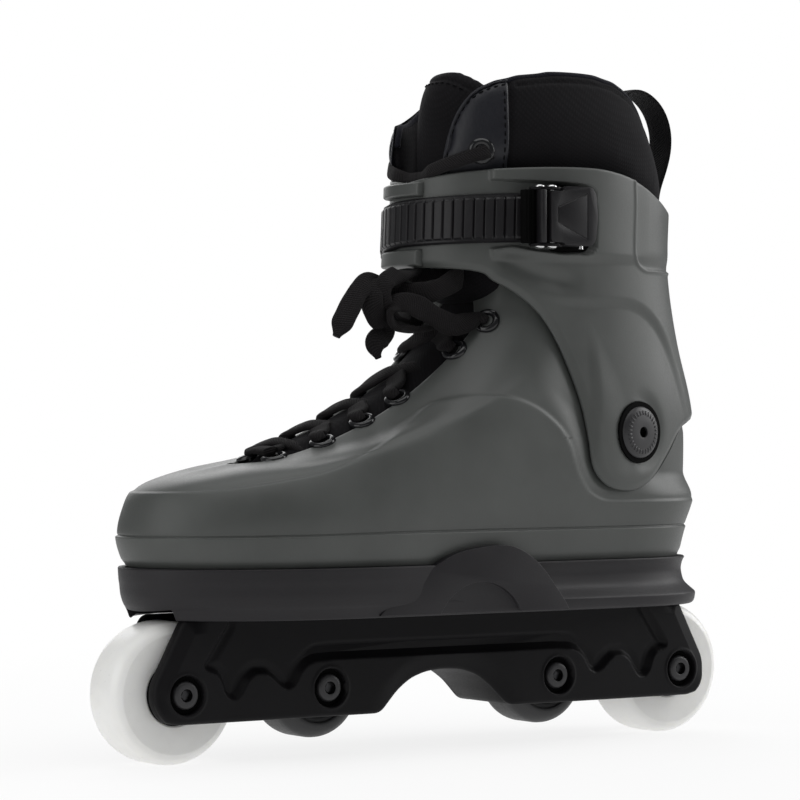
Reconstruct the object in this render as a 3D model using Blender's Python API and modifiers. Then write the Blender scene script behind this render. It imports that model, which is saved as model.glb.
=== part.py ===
"""A left aggressive inline skate: moulded boot, pivoting cuff, soul plate, frame, four wheels, liner, laces and buckle.

Metres, +Z up, +X towards the toe, +Y to the outer side of the foot, origin on the ground midway between the end
axles. The lists of points below are in millimetres.
"""

import math

import bmesh
import bpy
import numpy as np
from mathutils import Matrix, Vector

MM = 0.001
GAP = 0.3  # between parts that touch

# Wheels and axles
AXLE_Z = 29.0
AXLE_X = (126.5, 58.5, -58.5, -126.5)
WHEEL_R = (29.0, 21.5, 21.5, 29.0)
WHEEL_NAMES = ("front", "front_inner", "rear_inner", "rear")
WHEEL_HALF_W = 12.0
TREAD_HALF_W = 6.5
CORE_R = 13.0
BEARING_R, BEARING_BORE_R, BEARING_W = 11.0, 4.0, 7.0
SHANK_R = 3.7
AXLE_HEAD_R = 5.7

# Frame
FRAME_HALF_W = 20.5
FRAME_SLOT_HALF_W = 14.0
FRAME_BOTTOM, FRAME_TOP = 17.2, 59.7
DECK_BOTTOM = 52.0
FRAME_BOLT_X = (82.5, -82.5)
COUNTERBORE_R, COUNTERBORE_DEPTH = 7.8, 3.2

# Soul plate
PLATE_BOTTOM, PLATE_TOP = 60.0, 81.0
PLATE_FLOOR = 66.0

# Boot
SHELL_BOTTOM = PLATE_TOP + GAP
SHELL_FLOOR = 85.3
SHELL_WALL = 3.0
PIVOT_X, PIVOT_Z = -85.0, 134.0
PIVOT_TILT = math.radians(10)
CUFF_WALL = 3.3
CUFF_BOLT_R = 12.8
THROAT_ROW = 4.1  # the row of the cage where the throat slot starts

# Buckle
LEVER_PIN = (-32.5, 50.2)
PAWL_PIN = (-48.5, 49.2)
BUCKLE_Z = (212.0, 237.0)

# The sole's outline, near side, toe to heel: (x, y).
SOLE = [(136.5, 0), (131.5, 17.5), (116.5, 31.5), (94, 41), (67, 44.8), (35, 44), (0, 41), (-38, 38.5),
        (-75, 37), (-104, 33.5), (-123.5, 21), (-131, 0)]
# The boot's surface above it: one column for each outline point, from the side wall up to the ankle.
COLUMNS = [
    [(140, 0, 93), (137.5, 0, 104), (128, 0, 114), (97, 0, 121.5), (62, 0, 131.5), (22, 0, 152), (-11, 0, 181), (-22, 0, 206)],
    [(135, 18.5, 93), (132.5, 18.2, 104), (122, 16, 115), (91, 9.5, 121.8), (60, 15.5, 130.5), (20, 17.5, 150.5), (-13, 20, 180), (-25, 22, 206)],
    [(119.5, 33.5, 93), (117.5, 33.3, 104), (107, 29.5, 116.5), (86, 23, 122.5), (55, 26, 129.5), (16, 28, 147.5), (-17, 29, 177), (-31, 29, 206)],
    [(96, 43.5, 93), (95, 43.5, 105), (86, 39, 118), (70, 34.5, 123.5), (44, 36, 130), (9, 37, 143.5), (-22, 36, 172), (-38, 34, 206)],
    [(69, 48, 93), (68, 48, 106), (62, 44, 119), (50, 42, 126), (31, 42, 132), (0, 42.5, 143), (-29, 40, 168), (-47, 37.2, 206)],
    [(35, 46.5, 93), (35, 47.4, 106), (31, 46.6, 119), (23, 46, 128), (9, 45.3, 136), (-14, 44.6, 147), (-39, 42, 169), (-58, 39, 206)],
    [(0, 43.5, 93), (-1, 46, 105), (-4, 46.8, 119), (-9, 46.6, 130), (-18, 46.2, 140), (-34, 45.3, 151), (-52, 42.8, 171), (-69, 39.5, 206)],
    [(-38, 41, 93), (-39, 44.2, 105), (-41, 46.2, 119), (-44, 46.3, 131), (-49, 46, 142), (-58, 45, 153), (-69, 42.5, 172), (-80, 38.8, 206)],
    [(-75, 39.5, 93), (-76, 43, 105), (-77, 45, 119), (-78, 45.3, 131), (-80, 45, 142), (-84, 43.8, 154), (-88, 41.2, 172), (-91, 36.8, 206)],
    [(-105, 36, 93), (-107, 39, 105), (-107.5, 40.6, 119), (-107.5, 40.8, 131), (-107, 40.3, 142), (-105.5, 39, 154), (-103.5, 36.6, 172), (-101, 32, 206)],
    [(-126.5, 22.5, 93), (-130, 24.5, 105), (-131, 25.2, 119), (-131, 25.4, 131), (-130, 25.2, 142), (-126.5, 24.4, 154), (-121, 22.5, 172), (-112, 19.5, 206)],
    [(-134, 0, 93), (-137.5, 0, 104.5), (-139, 0, 119), (-139.3, 0, 131), (-138.5, 0, 142), (-135.3, 0, 154), (-129, 0, 172), (-118, 0, 206)],
]
# The line on the boot's side where the recess that the cuff swings in starts: (x, z), heel to toe.
SHELF = [(-140, 104), (-75, 104), (-64, 105), (-56, 110), (-51, 120), (-45, 135), (-37, 143), (-27, 148), (-13, 149.5),
         (4, 148), (22, 140), (38, 128.5), (56, 121), (70, 117), (98, 112), (134, 110), (150, 110)]
EYELETS = [(79, 124), (58.7, 130.5), (39.7, 139), (22.9, 148.5), (-4, 168.5), (-17, 181)]

# The cuff's outline by height: (z, front x, back x, half width).
CUFF_RINGS = [(104, 32, -139.6, 46.2), (120, 29, -139.8, 46.4), (141, 20, -139, 46.2), (160, 14, -134, 45.6),
              (177, 11, -129, 45), (205, 9, -124.2, 44.4), (228, 8, -124.6, 44), (246, 7.5, -124, 43.8), (290, 5, -122, 42)]
ROUNDNESS = 2.2
# The cuff's bottom and top edges by the angle round the ankle from the front, in degrees: (angle, z).
CUFF_LOW = [(0, 205), (44, 203), (56, 199.5), (66, 193), (76, 181), (84, 166), (90, 150), (94, 132), (98, 118),
            (106, 111.5), (114, 110.4), (122, 113), (131, 121), (141, 130), (153, 134), (180, 136)]
CUFF_HIGH = [(0, 239), (40, 243), (80, 245), (110, 244.5), (135, 240), (155, 232), (180, 229)]
CUFF_ENDS = (-32.0, 322.0)  # the angles where the outer flap ends and the inner flap starts

# Liner
LINER_GAP = 1.9
BOOTIE_GAP = 3.1
BOOTIE_WALL = 4.5
COLLAR_WALL = 8.5
SPLIT_R = 97.0  # the bootie ends, and the collar starts, on a cylinder about the cuff's pivot
COLLAR_HIGH = [(20, 254), (25, 265), (32, 274), (43, 281), (60, 285), (90, 288.5), (120, 281.5), (150, 264),
               (180, 258)]

COLOURS = {
    "grey_plastic": (0.075, 0.08, 0.075, 0.5, 0.0),
    "black_plastic": (0.018, 0.017, 0.018, 0.45, 0.0),
    "white_urethane": (0.78, 0.78, 0.74, 0.35, 0.0),
    "black_urethane": (0.02, 0.02, 0.02, 0.5, 0.0),
    "black_neoprene": (0.008, 0.008, 0.009, 0.9, 0.0),
    "black_webbing": (0.01, 0.01, 0.01, 0.85, 0.0),
    "black_steel": (0.03, 0.03, 0.03, 0.3, 1.0),
    "bare_steel": (0.6, 0.6, 0.6, 0.25, 1.0),
    "foam": (0.1, 0.1, 0.11, 0.9, 0.0),
}

SKATE = "inline_skate"
CUTTERS = "cutters"


# ---------------------------------------------------------------- scene and materials

def clear_scene():
    for obj in list(bpy.data.objects):
        bpy.data.objects.remove(obj)
    for name in (SKATE, CUTTERS):
        collection = bpy.data.collections.new(name)
        bpy.context.scene.collection.children.link(collection)


def material(name):
    found = bpy.data.materials.get(name)
    if found:
        return found
    red, green, blue, roughness, metallic = COLOURS[name]
    made = bpy.data.materials.new(name)
    made.use_nodes = True
    shader = made.node_tree.nodes["Principled BSDF"]
    shader.inputs["Base Color"].default_value = (red, green, blue, 1)
    shader.inputs["Roughness"].default_value = roughness
    shader.inputs["Metallic"].default_value = metallic
    return made


def add_object(name, mesh, colour=None, location=(0, 0, 0)):
    """Links a mesh as one part, or as a cutter where it has no colour. The location is in millimetres."""
    obj = bpy.data.objects.new(name, mesh)
    obj.location = Vector(location) * MM
    bpy.data.collections[SKATE if colour else CUTTERS].objects.link(obj)
    if colour:
        mesh.materials.clear()
        mesh.materials.append(material(colour))
        mesh.shade_smooth()
        mesh.set_sharp_from_angle(angle=math.radians(35))
    else:
        obj.hide_render = True
        obj.display_type = "WIRE"
    return obj


def finish_bmesh(name, shape):
    """A mesh from a bmesh in millimetres."""
    bmesh.ops.scale(shape, vec=(MM, MM, MM), verts=shape.verts)
    bmesh.ops.recalc_face_normals(shape, faces=shape.faces)
    mesh = bpy.data.meshes.new(name)
    shape.to_mesh(mesh)
    shape.free()
    return mesh


# ---------------------------------------------------------------- simple shapes, in millimetres

def cylinder(name, start, end, radius, colour=None, sides=24, end_radius=None):
    """A cylinder or cone between two points."""
    start, end = Vector(start), Vector(end)
    along = end - start
    shape = bmesh.new()
    bmesh.ops.create_cone(shape, cap_ends=True, segments=sides, radius1=radius,
                          radius2=radius if end_radius is None else end_radius, depth=along.length)
    turn = along.to_track_quat("Z", "Y").to_matrix().to_4x4()
    bmesh.ops.transform(shape, matrix=Matrix.Translation((start + end) / 2) @ turn, verts=shape.verts)
    return add_object(name, finish_bmesh(name, shape), colour)


def box(name, low, high, colour=None, bevel=0.0):
    low, high = Vector(low), Vector(high)
    size = high - low
    shape = bmesh.new()
    bmesh.ops.create_cube(shape, size=1.0)
    bmesh.ops.scale(shape, vec=size, verts=shape.verts)
    bmesh.ops.translate(shape, vec=(low + high) / 2, verts=shape.verts)
    if bevel:
        bmesh.ops.bevel(shape, geom=shape.edges[:], offset=bevel, segments=2, affect="EDGES")
    return add_object(name, finish_bmesh(name, shape), colour)


def turned(name, profile, place, colour, steps=24):
    """A ring turned about a line along Y through place. The profile is (radius, distance along the axis)."""
    mesh = bpy.data.meshes.new(name)
    area = sum(a[0] * b[1] - b[0] * a[1] for a, b in zip(profile, profile[1:] + profile[:1]))
    ordered = profile if area > 0 else profile[::-1]
    points = [(radius * MM, 0, -across * MM) for radius, across in ordered]
    count = len(points)
    edges = [(i, (i + 1) % count) for i in range(count)]
    mesh.from_pydata(points, edges, [])
    mesh.update()
    obj = add_object(name, mesh, colour)
    screw = obj.modifiers.new("turn", "SCREW")
    screw.steps = screw.render_steps = steps
    screw.use_merge_vertices = True
    screw.merge_threshold = 0.00001
    screw.use_smooth_shade = True
    obj.rotation_euler = (math.radians(90), 0, 0)
    obj.location = Vector(place) * MM
    return obj


def slab(name, outline, low_y, high_y, colour=None, bevel=0.0):
    """A flat outline of (x, z) points, thickened along Y."""
    shape = bmesh.new()
    ring = [shape.verts.new((x, low_y, z)) for x, z in outline]
    face = shape.faces.new(ring)
    grown = bmesh.ops.extrude_face_region(shape, geom=[face])
    moved = [item for item in grown["geom"] if isinstance(item, bmesh.types.BMVert)]
    bmesh.ops.translate(shape, vec=(0, high_y - low_y, 0), verts=moved)
    if bevel:
        rims = [edge for edge in shape.edges if abs(edge.verts[0].co.y - edge.verts[1].co.y) < 0.001]
        bmesh.ops.bevel(shape, geom=rims, offset=bevel, segments=1, affect="EDGES")
    return add_object(name, finish_bmesh(name, shape), colour)


def plate(name, outline, low_z, high_z, colour=None):
    """A flat outline of (x, y) points between two heights, which may be functions of x."""
    low = low_z if callable(low_z) else lambda x: low_z
    high = high_z if callable(high_z) else lambda x: high_z
    shape = bmesh.new()
    bottom = [shape.verts.new((x, y, low(x))) for x, y in outline]
    top = [shape.verts.new((x, y, high(x))) for x, y in outline]
    shape.faces.new(bottom)
    shape.faces.new(top)
    for i in range(len(outline)):
        j = (i + 1) % len(outline)
        shape.faces.new((bottom[i], bottom[j], top[j], top[i]))
    bmesh.ops.triangulate(shape, faces=shape.faces)
    return add_object(name, finish_bmesh(name, shape), colour)


def arc(centre, radius, start, end, count):
    """Points on an arc, from one angle to another in degrees."""
    angles = np.radians(np.linspace(start, end, count))
    return [(centre[0] + radius * math.cos(a), centre[1] + radius * math.sin(a)) for a in angles]


def cut(obj, cutter):
    modifier = obj.modifiers.new(cutter.name, "BOOLEAN")
    modifier.operation = "DIFFERENCE"
    modifier.solver = "EXACT"
    modifier.object = cutter


def join(obj, other):
    """Unites obj with a piece that is not a part of its own."""
    modifier = obj.modifiers.new(other.name, "BOOLEAN")
    modifier.operation = "UNION"
    modifier.solver = "EXACT"
    modifier.object = other


# ---------------------------------------------------------------- smooth surfaces

def spline_weights(count, at, periodic=False):
    """Weights that read a cubic spline through count evenly spaced points, one row for each place in at."""
    eye = np.eye(count)
    if periodic:
        left, right = np.roll(eye, -1, axis=1), np.roll(eye, 1, axis=1)
        bends = np.linalg.solve(4 * eye + left + right, 6 * (left + right - 2 * eye))
    else:
        matrix, values = np.eye(count), np.zeros((count, count))
        for i in range(1, count - 1):
            matrix[i, i - 1:i + 2] = 1, 4, 1
            values[i, i - 1:i + 2] = 6, -12, 6
        bends = np.linalg.solve(matrix, values)
    at = np.asarray(at, float)
    first = np.floor(at).astype(int) if periodic else np.clip(np.floor(at).astype(int), 0, count - 2)
    after = (at - first)[:, None]
    before = 1 - after
    first, second = first % count, (first + 1) % count
    return (before * eye[first] + after * eye[second]
            + ((before**3 - before) * bends[first] + (after**3 - after) * bends[second]) / 6)


def boot_cage():
    """The boot's control points, (rows, columns, 3), all the way round from the toe."""
    near = np.array([[(x, y, SHELL_BOTTOM), *column] for (x, y), column in zip(SOLE, COLUMNS)], float)
    far = near[-2:0:-1] * (1, -1, 1)
    return np.concatenate([near, far]).transpose(1, 0, 2)


CAGE = boot_cage()
AROUND = CAGE.shape[1]
TOP_ROW = CAGE.shape[0] - 1


def smooth_step(low, high, value):
    share = np.clip((value - low) / (high - low), 0, 1)
    return share * share * (3 - 2 * share)


def recess(point):
    """How far the boot lies inside its outer envelope, so that the cuff has room to swing over it."""
    x, z = point[..., 0], point[..., 2]
    line = np.array(SHELF, float)
    above = z - np.interp(x, line[:, 0], line[:, 1])
    deep = 0.8 + 3.9 * smooth_step(30, 58, -x) + 1.6 * smooth_step(88, 104, -x)
    return deep * smooth_step(0, 6, above)


def lean(point):
    """The ankle's back leans forward inside the cuff, by the room that the cuff's forward flex takes."""
    x, z = point[..., 0], point[..., 2]
    behind = np.clip((-62 - x) / 60, 0, 1)
    forward = 0.12 * np.clip(z - PIVOT_Z, 0, None) * behind
    return np.stack([forward, 0 * x, 0 * x], axis=-1)


def boot_surface(around, up, inset):
    """The boot's surface moved inwards, as an array (up, around, 3)."""
    around, up = np.asarray(around, float), np.asarray(up, float)

    def read(a, b):
        return np.einsum("vr,rcx,uc->vux", spline_weights(TOP_ROW + 1, b), CAGE, spline_weights(AROUND, a, True))

    step = 0.01
    place = read(around, up)
    along = read(around + step, up) - read(around - step, up)
    rise = read(around, up + step) - read(around, up - step)
    normal = np.cross(along, rise)
    normal /= np.linalg.norm(normal, axis=-1, keepdims=True)
    moved = place - normal * (inset + recess(place))[..., None] + lean(place)
    # A left foot's toe turns in a little.
    moved[..., 1] -= 4.0 * (np.clip(moved[..., 0] - 20, 0, None) / 120) ** 2
    return moved


def wall_between(name, outer, inner, closed, colour, keep=None, floor=False):
    """A closed wall between two grids of points of the same shape, (rows, columns, 3).

    closed joins the last column to the first, keep says which cells exist, and floor caps the first rows.
    """
    rows, columns = outer.shape[:2]
    shape = bmesh.new()
    out = [[shape.verts.new(p) for p in row] for row in outer]
    inn = [[shape.verts.new(p) for p in row] for row in inner]
    across = columns if closed else columns - 1
    cells = {(r, c) for r in range(rows - 1) for c in range(across) if keep is None or keep(r, c)}
    sides = {}
    for r, c in cells:
        d = (c + 1) % columns
        corners = [(r, c), (r, d), (r + 1, d), (r + 1, c)]
        shape.faces.new([out[i][j] for i, j in corners])
        shape.faces.new([inn[i][j] for i, j in reversed(corners)])
        for a, b in zip(corners, corners[1:] + corners[:1]):
            sides[frozenset((a, b))] = sides.get(frozenset((a, b)), []) + [(a, b)]
    for edge, uses in sides.items():
        if len(uses) > 1 or (floor and all(i == 0 for i, _ in edge)):
            continue
        a, b = uses[0]
        shape.faces.new([out[b[0]][b[1]], out[a[0]][a[1]], inn[a[0]][a[1]], inn[b[0]][b[1]]])
    if floor:
        shape.faces.new(out[0])
        shape.faces.new(inn[0])
    loose = [vert for vert in shape.verts if not vert.link_faces]
    bmesh.ops.delete(shape, geom=loose, context="VERTS")
    bmesh.ops.triangulate(shape, faces=shape.faces)
    return add_object(name, finish_bmesh(name, shape), colour)


# ---------------------------------------------------------------- boot shell

def shell_grid():
    around = np.arange(0, AROUND, 0.5)
    rows = np.array([0, 1, 2, 2.35, 2.8, 3.5, THROAT_ROW, 4.7, 5.4, 6.2, 7, 7.9])
    return around, rows


def make_shell():
    around, rows = shell_grid()
    outer = boot_surface(around, rows, 0.0)
    inner = boot_surface(around, rows, SHELL_WALL)
    inner[0, :, 2] = SHELL_FLOOR
    start = list(rows).index(THROAT_ROW)
    count = len(around)

    def keep(row, column):
        in_throat = column < 2 or column >= count - 2
        at_back = abs(column + 0.5 - count / 2) < 7
        return not (in_throat and row >= start) and not (at_back and row >= start + 4)

    shell = wall_between("boot_shell", outer, inner, True, "grey_plastic", keep, floor=True)
    for index, (place, normal) in enumerate(eyelet_places()):
        reach = Vector(normal) * 8
        cut(shell, cylinder(f"eyelet_cutter_{index}", Vector(place) - reach, Vector(place) + reach, 3.3, sides=10))
    for side in (1, -1):
        cut(shell, pivot_cylinder(f"shell_pivot_cutter_{side}", side, 30, 60, 6.0))
    for x in FRAME_BOLT_X:
        cut(shell, cylinder(f"sole_hole_cutter_{x:.0f}", (x, 0, 70), (x, 0, 95), 5.6, sides=16))
    return shell


def surface_at(x, z, side, inset=0.0):
    """The boot's outer point and normal nearest to a place seen from the side, near side 1, far side -1."""
    around = np.linspace(0.8, 8, 73)
    up = np.linspace(3.5, TOP_ROW, 60)
    grid = boot_surface(around, up, inset)
    far = (grid[..., 0] - x) ** 2 + (grid[..., 2] - z) ** 2
    row, column = np.unravel_index(far.argmin(), far.shape)
    row, column = np.clip(row, 1, len(up) - 2), np.clip(column, 1, len(around) - 2)
    normal = np.cross(grid[row, column + 1] - grid[row, column - 1], grid[row + 1, column] - grid[row - 1, column])
    normal /= np.linalg.norm(normal)
    place = grid[row, column].copy()
    bend = 4.0 * (max(place[0] - 20, 0) / 120) ** 2
    if side < 0:
        place[1] = -(place[1] + bend) - bend
        normal[1] = -normal[1]
    return place, normal


def eyelet_places():
    """(place, outward normal) of each eyelet, toe to ankle, outer side then inner side."""
    return [surface_at(x, z, side) for x, z in EYELETS for side in (1, -1)]


def pivot_cylinder(name, side, low, high, radius, colour=None, sides=24):
    """A cylinder square to the boot's ankle through the cuff's pivot, between two distances from the middle."""
    across = Vector((-math.sin(PIVOT_TILT), side * math.cos(PIVOT_TILT), 0))
    middle = Vector((PIVOT_X, side * 44.0, PIVOT_Z))
    return cylinder(name, middle + across * (low - 44), middle + across * (high - 44), radius, colour, sides)


# ---------------------------------------------------------------- cuff

def cuff_point(angle, z, out):
    """A point on the cuff at an angle from the front in degrees, moved outwards."""
    rings = np.array(CUFF_RINGS, float)
    front, back, half = (np.interp(z, rings[:, 0], rings[:, k]) for k in (1, 2, 3))
    centre, reach = (front + back) / 2, (front - back) / 2
    turn = math.radians(angle)
    c, s = math.cos(turn), math.sin(turn)
    power = 2 / ROUNDNESS
    x = math.copysign(abs(c) ** power, c)
    y = math.copysign(abs(s) ** power, s)
    slope = Vector((x / max(reach, 1) * abs(x) ** 0.2, y / half * abs(y) ** 0.2, 0)).normalized()
    return Vector((centre + reach * x, half * y, z)) + slope * out


def mirrored_edge(table, angle):
    """Reads a table of (angle, z) that is the same on both sides of the ankle."""
    folded = abs((angle + 180) % 360 - 180)
    values = np.array(table, float)
    return float(np.interp(folded, values[:, 0], values[:, 1]))


def make_cuff():
    angles = [*np.arange(CUFF_ENDS[0], 40, 8), *np.arange(40, 320, 6), CUFF_ENDS[1]]
    shares = np.linspace(0, 1, 7)

    def grid(out):
        return np.array([[cuff_point(a, mirrored_edge(CUFF_LOW, a) * (1 - t) + mirrored_edge(CUFF_HIGH, a) * t, out)
                          for a in angles] for t in shares])

    cuff = wall_between("cuff", grid(0), grid(-CUFF_WALL), False, "grey_plastic")
    for side in (1, -1):
        cut(cuff, pivot_cylinder(f"cuff_pivot_cutter_{side}", side, 30, 60, 6.0))
        cut(cuff, pivot_cylinder(f"cuff_seat_cutter_{side}", side, 42.6, 60, CUFF_BOLT_R + 0.8))
    return cuff


def make_cuff_bolts():
    for side, word in ((1, "outer"), (-1, "inner")):
        bolt = pivot_cylinder(f"cuff_bolt_{word}", side, 43.0, 45.4, CUFF_BOLT_R, "black_plastic", 32)
        join(bolt, pivot_cylinder(f"bolt_barrel_{word}", side, 36.0, 43.5, 5.4, sides=20))
        cut(bolt, pivot_cylinder(f"bolt_socket_{word}", side, 43.9, 50, 2.5, sides=6))
        cut(bolt, pivot_cylinder(f"bolt_thread_{word}", side, 30, 41.0, 3.3, sides=16))
        nut = pivot_cylinder(f"cuff_nut_{word}", side, 33.4, 35.2, 9.0, "bare_steel", 20)
        join(nut, pivot_cylinder(f"nut_barrel_{word}", side, 34.5, 40.4, 3.0, sides=16))


# ---------------------------------------------------------------- soul plate

def sole_outline(spread):
    """The sole's outline moved outwards by a distance that may vary with x, from the toe all the way round."""
    points = boot_surface(np.arange(0, AROUND, 0.5), [0.0], 0.0)[0, :, :2]
    ahead, behind = np.roll(points, -1, axis=0), np.roll(points, 1, axis=0)
    along = ahead - behind
    normal = np.stack([along[:, 1], -along[:, 0]], axis=-1)
    normal /= np.linalg.norm(normal, axis=-1, keepdims=True)
    if (normal * points).sum() < 0:
        normal = -normal
    amount = np.array([spread(x) if callable(spread) else spread for x in points[:, 0]])
    return points + normal * amount[:, None]


def make_soul_plate():
    def from_toe(at_toe, at_heel):
        return lambda x: at_heel + (at_toe - at_heel) * float(smooth_step(-60, 60, x))

    levels = [(PLATE_BOTTOM, from_toe(-2.0, 6.0)), (61.8, from_toe(-0.6, 8.0)), (64.5, from_toe(1.2, 7.4)),
              (69, from_toe(2.4, 2.6)), (75, from_toe(3.0, 1.8)), (PLATE_TOP, from_toe(3.2, 3.2))]
    outer = np.array([[(x, y, z) for x, y in sole_outline(spread)] for z, spread in levels])
    shape = bmesh.new()
    rings = [[shape.verts.new(p) for p in row] for row in outer]
    count = len(rings[0])
    for low, high in zip(rings, rings[1:]):
        for i in range(count):
            j = (i + 1) % count
            shape.faces.new((low[i], low[j], high[j], high[i]))
    shape.faces.new(rings[0])
    shape.faces.new(rings[-1])
    bmesh.ops.triangulate(shape, faces=shape.faces)
    body = add_object("soul_plate", finish_bmesh("soul_plate", shape), "black_plastic")
    cut(body, plate("plate_pocket", [tuple(p) for p in sole_outline(-3.0)], PLATE_FLOOR, PLATE_TOP + 9))
    for x in FRAME_BOLT_X:
        join(body, cylinder(f"plate_boss_{x:.0f}", (x, 0, PLATE_FLOOR - 1), (x, 0, PLATE_TOP - 0.2), 9.0, sides=20))
    for side in (1, -1):
        hump = [(46, 64), (22, 81), (8, 85.5), (-9, 87.2), (-21, 85.2), (-31, 79.5), (-44, 68)]
        join(body, slab(f"plate_hump_{side}", hump, *sorted((side * 44.6, side * 47.4))))
        arch = arc((0, 52), 22, -5, 185, 17)
        arch = [(x, 52 + (z - 52) * 0.9) for x, z in arch]
        cut(body, slab(f"plate_arch_{side}", arch, *sorted((side * 45.3, side * 60))))
        for x in (AXLE_X[0], AXLE_X[-1]):
            if side > 0:
                cut(body, cylinder(f"plate_well_{x:.0f}", (x, -15, AXLE_Z), (x, 15, AXLE_Z), 34.2, sides=48))
    for x in FRAME_BOLT_X:
        cut(body, cylinder(f"plate_hole_{x:.0f}", (x, 0, 50), (x, 0, 90), 3.6, sides=16))
    return body


# ---------------------------------------------------------------- frame

def frame_outline():
    """The frame's side outline, (x, z), clockwise from the front axle."""
    half = [*arc((AXLE_X[0], 29.5), 14.2, 28, -52, 7), (131, FRAME_BOTTOM), (33, FRAME_BOTTOM), (23.5, 26.5)]
    half += [(17, 31), (9, 33.6)]
    other = [(-x, z) for x, z in reversed(half)]
    return [*half, (0, 34.2), *other, (-126.5, FRAME_TOP), (126.5, FRAME_TOP)]


def frame_pocket():
    """The recess in the frame's side, with its wavy lower edge."""
    half = [(108, 62), (117.5, 44.5), (117, 41.8), (112, 40.2), (108.5, 35.5), (105, 29.5), (102, 28.3), (99.5, 31),
            (95.5, 38.8), (90.5, 42), (85.5, 39.6), (80, 33.6), (77, 32.3), (74.5, 34.5), (71, 41.5), (66.5, 44.6)]
    return half + [(-x, z) for x, z in reversed(half)]


def make_frame():
    frame = slab("frame", frame_outline(), -FRAME_HALF_W, FRAME_HALF_W, "black_plastic", bevel=1.4)
    for side in (1, -1):
        low, high = sorted((side * (FRAME_HALF_W - 1.8), side * (FRAME_HALF_W + 3)))
        cut(frame, slab(f"pocket_cutter_{side}", frame_pocket(), low, high))
    for end in (1, -1):
        low, high = sorted((end * 100.0, end * 160.0))
        cut(frame, box(f"well_cutter_{end}", (low, -FRAME_SLOT_HALF_W, 5), (high, FRAME_SLOT_HALF_W, 70)))
        low, high = sorted((end * 34.5, end * 101.0))
        cut(frame, box(f"inner_well_cutter_{end}", (low, -FRAME_SLOT_HALF_W, 5), (high, FRAME_SLOT_HALF_W, DECK_BOTTOM)))
    for x in FRAME_BOLT_X:
        cut(frame, cylinder(f"deck_hole_{x:.0f}", (x, 0, 45), (x, 0, 65), 3.6, sides=16))
    for name, x in zip(WHEEL_NAMES, AXLE_X):
        cut(frame, cylinder(f"axle_cutter_{name}", (x, -30, AXLE_Z), (x, 30, AXLE_Z), 4.3, sides=20))
        for side in (1, -1):
            seat = FRAME_HALF_W - COUNTERBORE_DEPTH
            cut(frame, cylinder(f"seat_cutter_{name}_{side}", (x, side * seat, AXLE_Z), (x, side * 30, AXLE_Z),
                                COUNTERBORE_R, sides=28))
    return frame


# ---------------------------------------------------------------- wheels

def make_wheels():
    for name, x, radius in zip(WHEEL_NAMES, AXLE_X, WHEEL_R):
        place = (x, 0, AXLE_Z)
        white = radius > 25
        half = WHEEL_HALF_W
        core = CORE_R
        tread = [(core + GAP, half - 1.2), (radius - 5.0, half), (radius - 2.0, half - 1.5), (radius - 0.4, half - 3.6),
                 (radius, TREAD_HALF_W)]
        ring = tread + [(r, -y) for r, y in reversed(tread)]
        turned(f"tyre_{name}", ring, place, "white_urethane" if white else "black_urethane", 28)
        seat = BEARING_W + 0.3
        hub = [(core, half - 1.2), (core, 1.2 - half), (BEARING_R + 0.5, 1.2 - half), (BEARING_R + 0.5, seat - half),
               (8.0, seat - half), (8.0, half - seat), (BEARING_R + 0.5, half - seat), (BEARING_R + 0.5, half - 1.2)]
        turned(f"core_{name}", hub, place, "black_plastic", 16)
        for side, word in ((1, "outer"), (-1, "inner")):
            middle = side * (half - BEARING_W / 2)
            edge = BEARING_W / 2
            ball = [(BEARING_BORE_R, -edge), (BEARING_BORE_R, edge), (6.2, edge), (6.6, edge - 0.5), (9.4, edge - 0.5),
                    (9.8, edge), (BEARING_R, edge), (BEARING_R, -edge)]
            turned(f"bearing_{name}_{word}", ball, (x, middle, AXLE_Z), "bare_steel", 12)
        length = half - BEARING_W - GAP
        turned(f"spacer_{name}", [(4.0, length), (4.0, -length), (5.2, -length), (5.2, length)], place, "bare_steel", 12)


def make_axles():
    seat = FRAME_HALF_W - COUNTERBORE_DEPTH + GAP
    for name, x in zip(WHEEL_NAMES, AXLE_X):
        bolt = cylinder(f"axle_bolt_{name}", (x, seat, AXLE_Z), (x, seat + 2.4, AXLE_Z), AXLE_HEAD_R, "black_steel", 20)
        join(bolt, cylinder(f"shank_{name}", (x, -13.6, AXLE_Z), (x, seat + 0.5, AXLE_Z), SHANK_R, sides=16))
        join(bolt, cylinder(f"thread_{name}", (x, -19, AXLE_Z), (x, -13, AXLE_Z), 2.5, sides=12))
        cut(bolt, cylinder(f"socket_{name}", (x, seat + 0.9, AXLE_Z), (x, seat + 9, AXLE_Z), 2.1, sides=6))
        nut = cylinder(f"axle_nut_{name}", (x, -seat - 2.4, AXLE_Z), (x, -seat, AXLE_Z), AXLE_HEAD_R, "black_steel", 20)
        join(nut, cylinder(f"barrel_{name}", (x, -seat - 0.5, AXLE_Z), (x, -14.2, AXLE_Z), SHANK_R, sides=16))
        cut(nut, cylinder(f"nut_thread_{name}", (x, -30, AXLE_Z), (x, 0, AXLE_Z), 2.9, sides=12))


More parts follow.
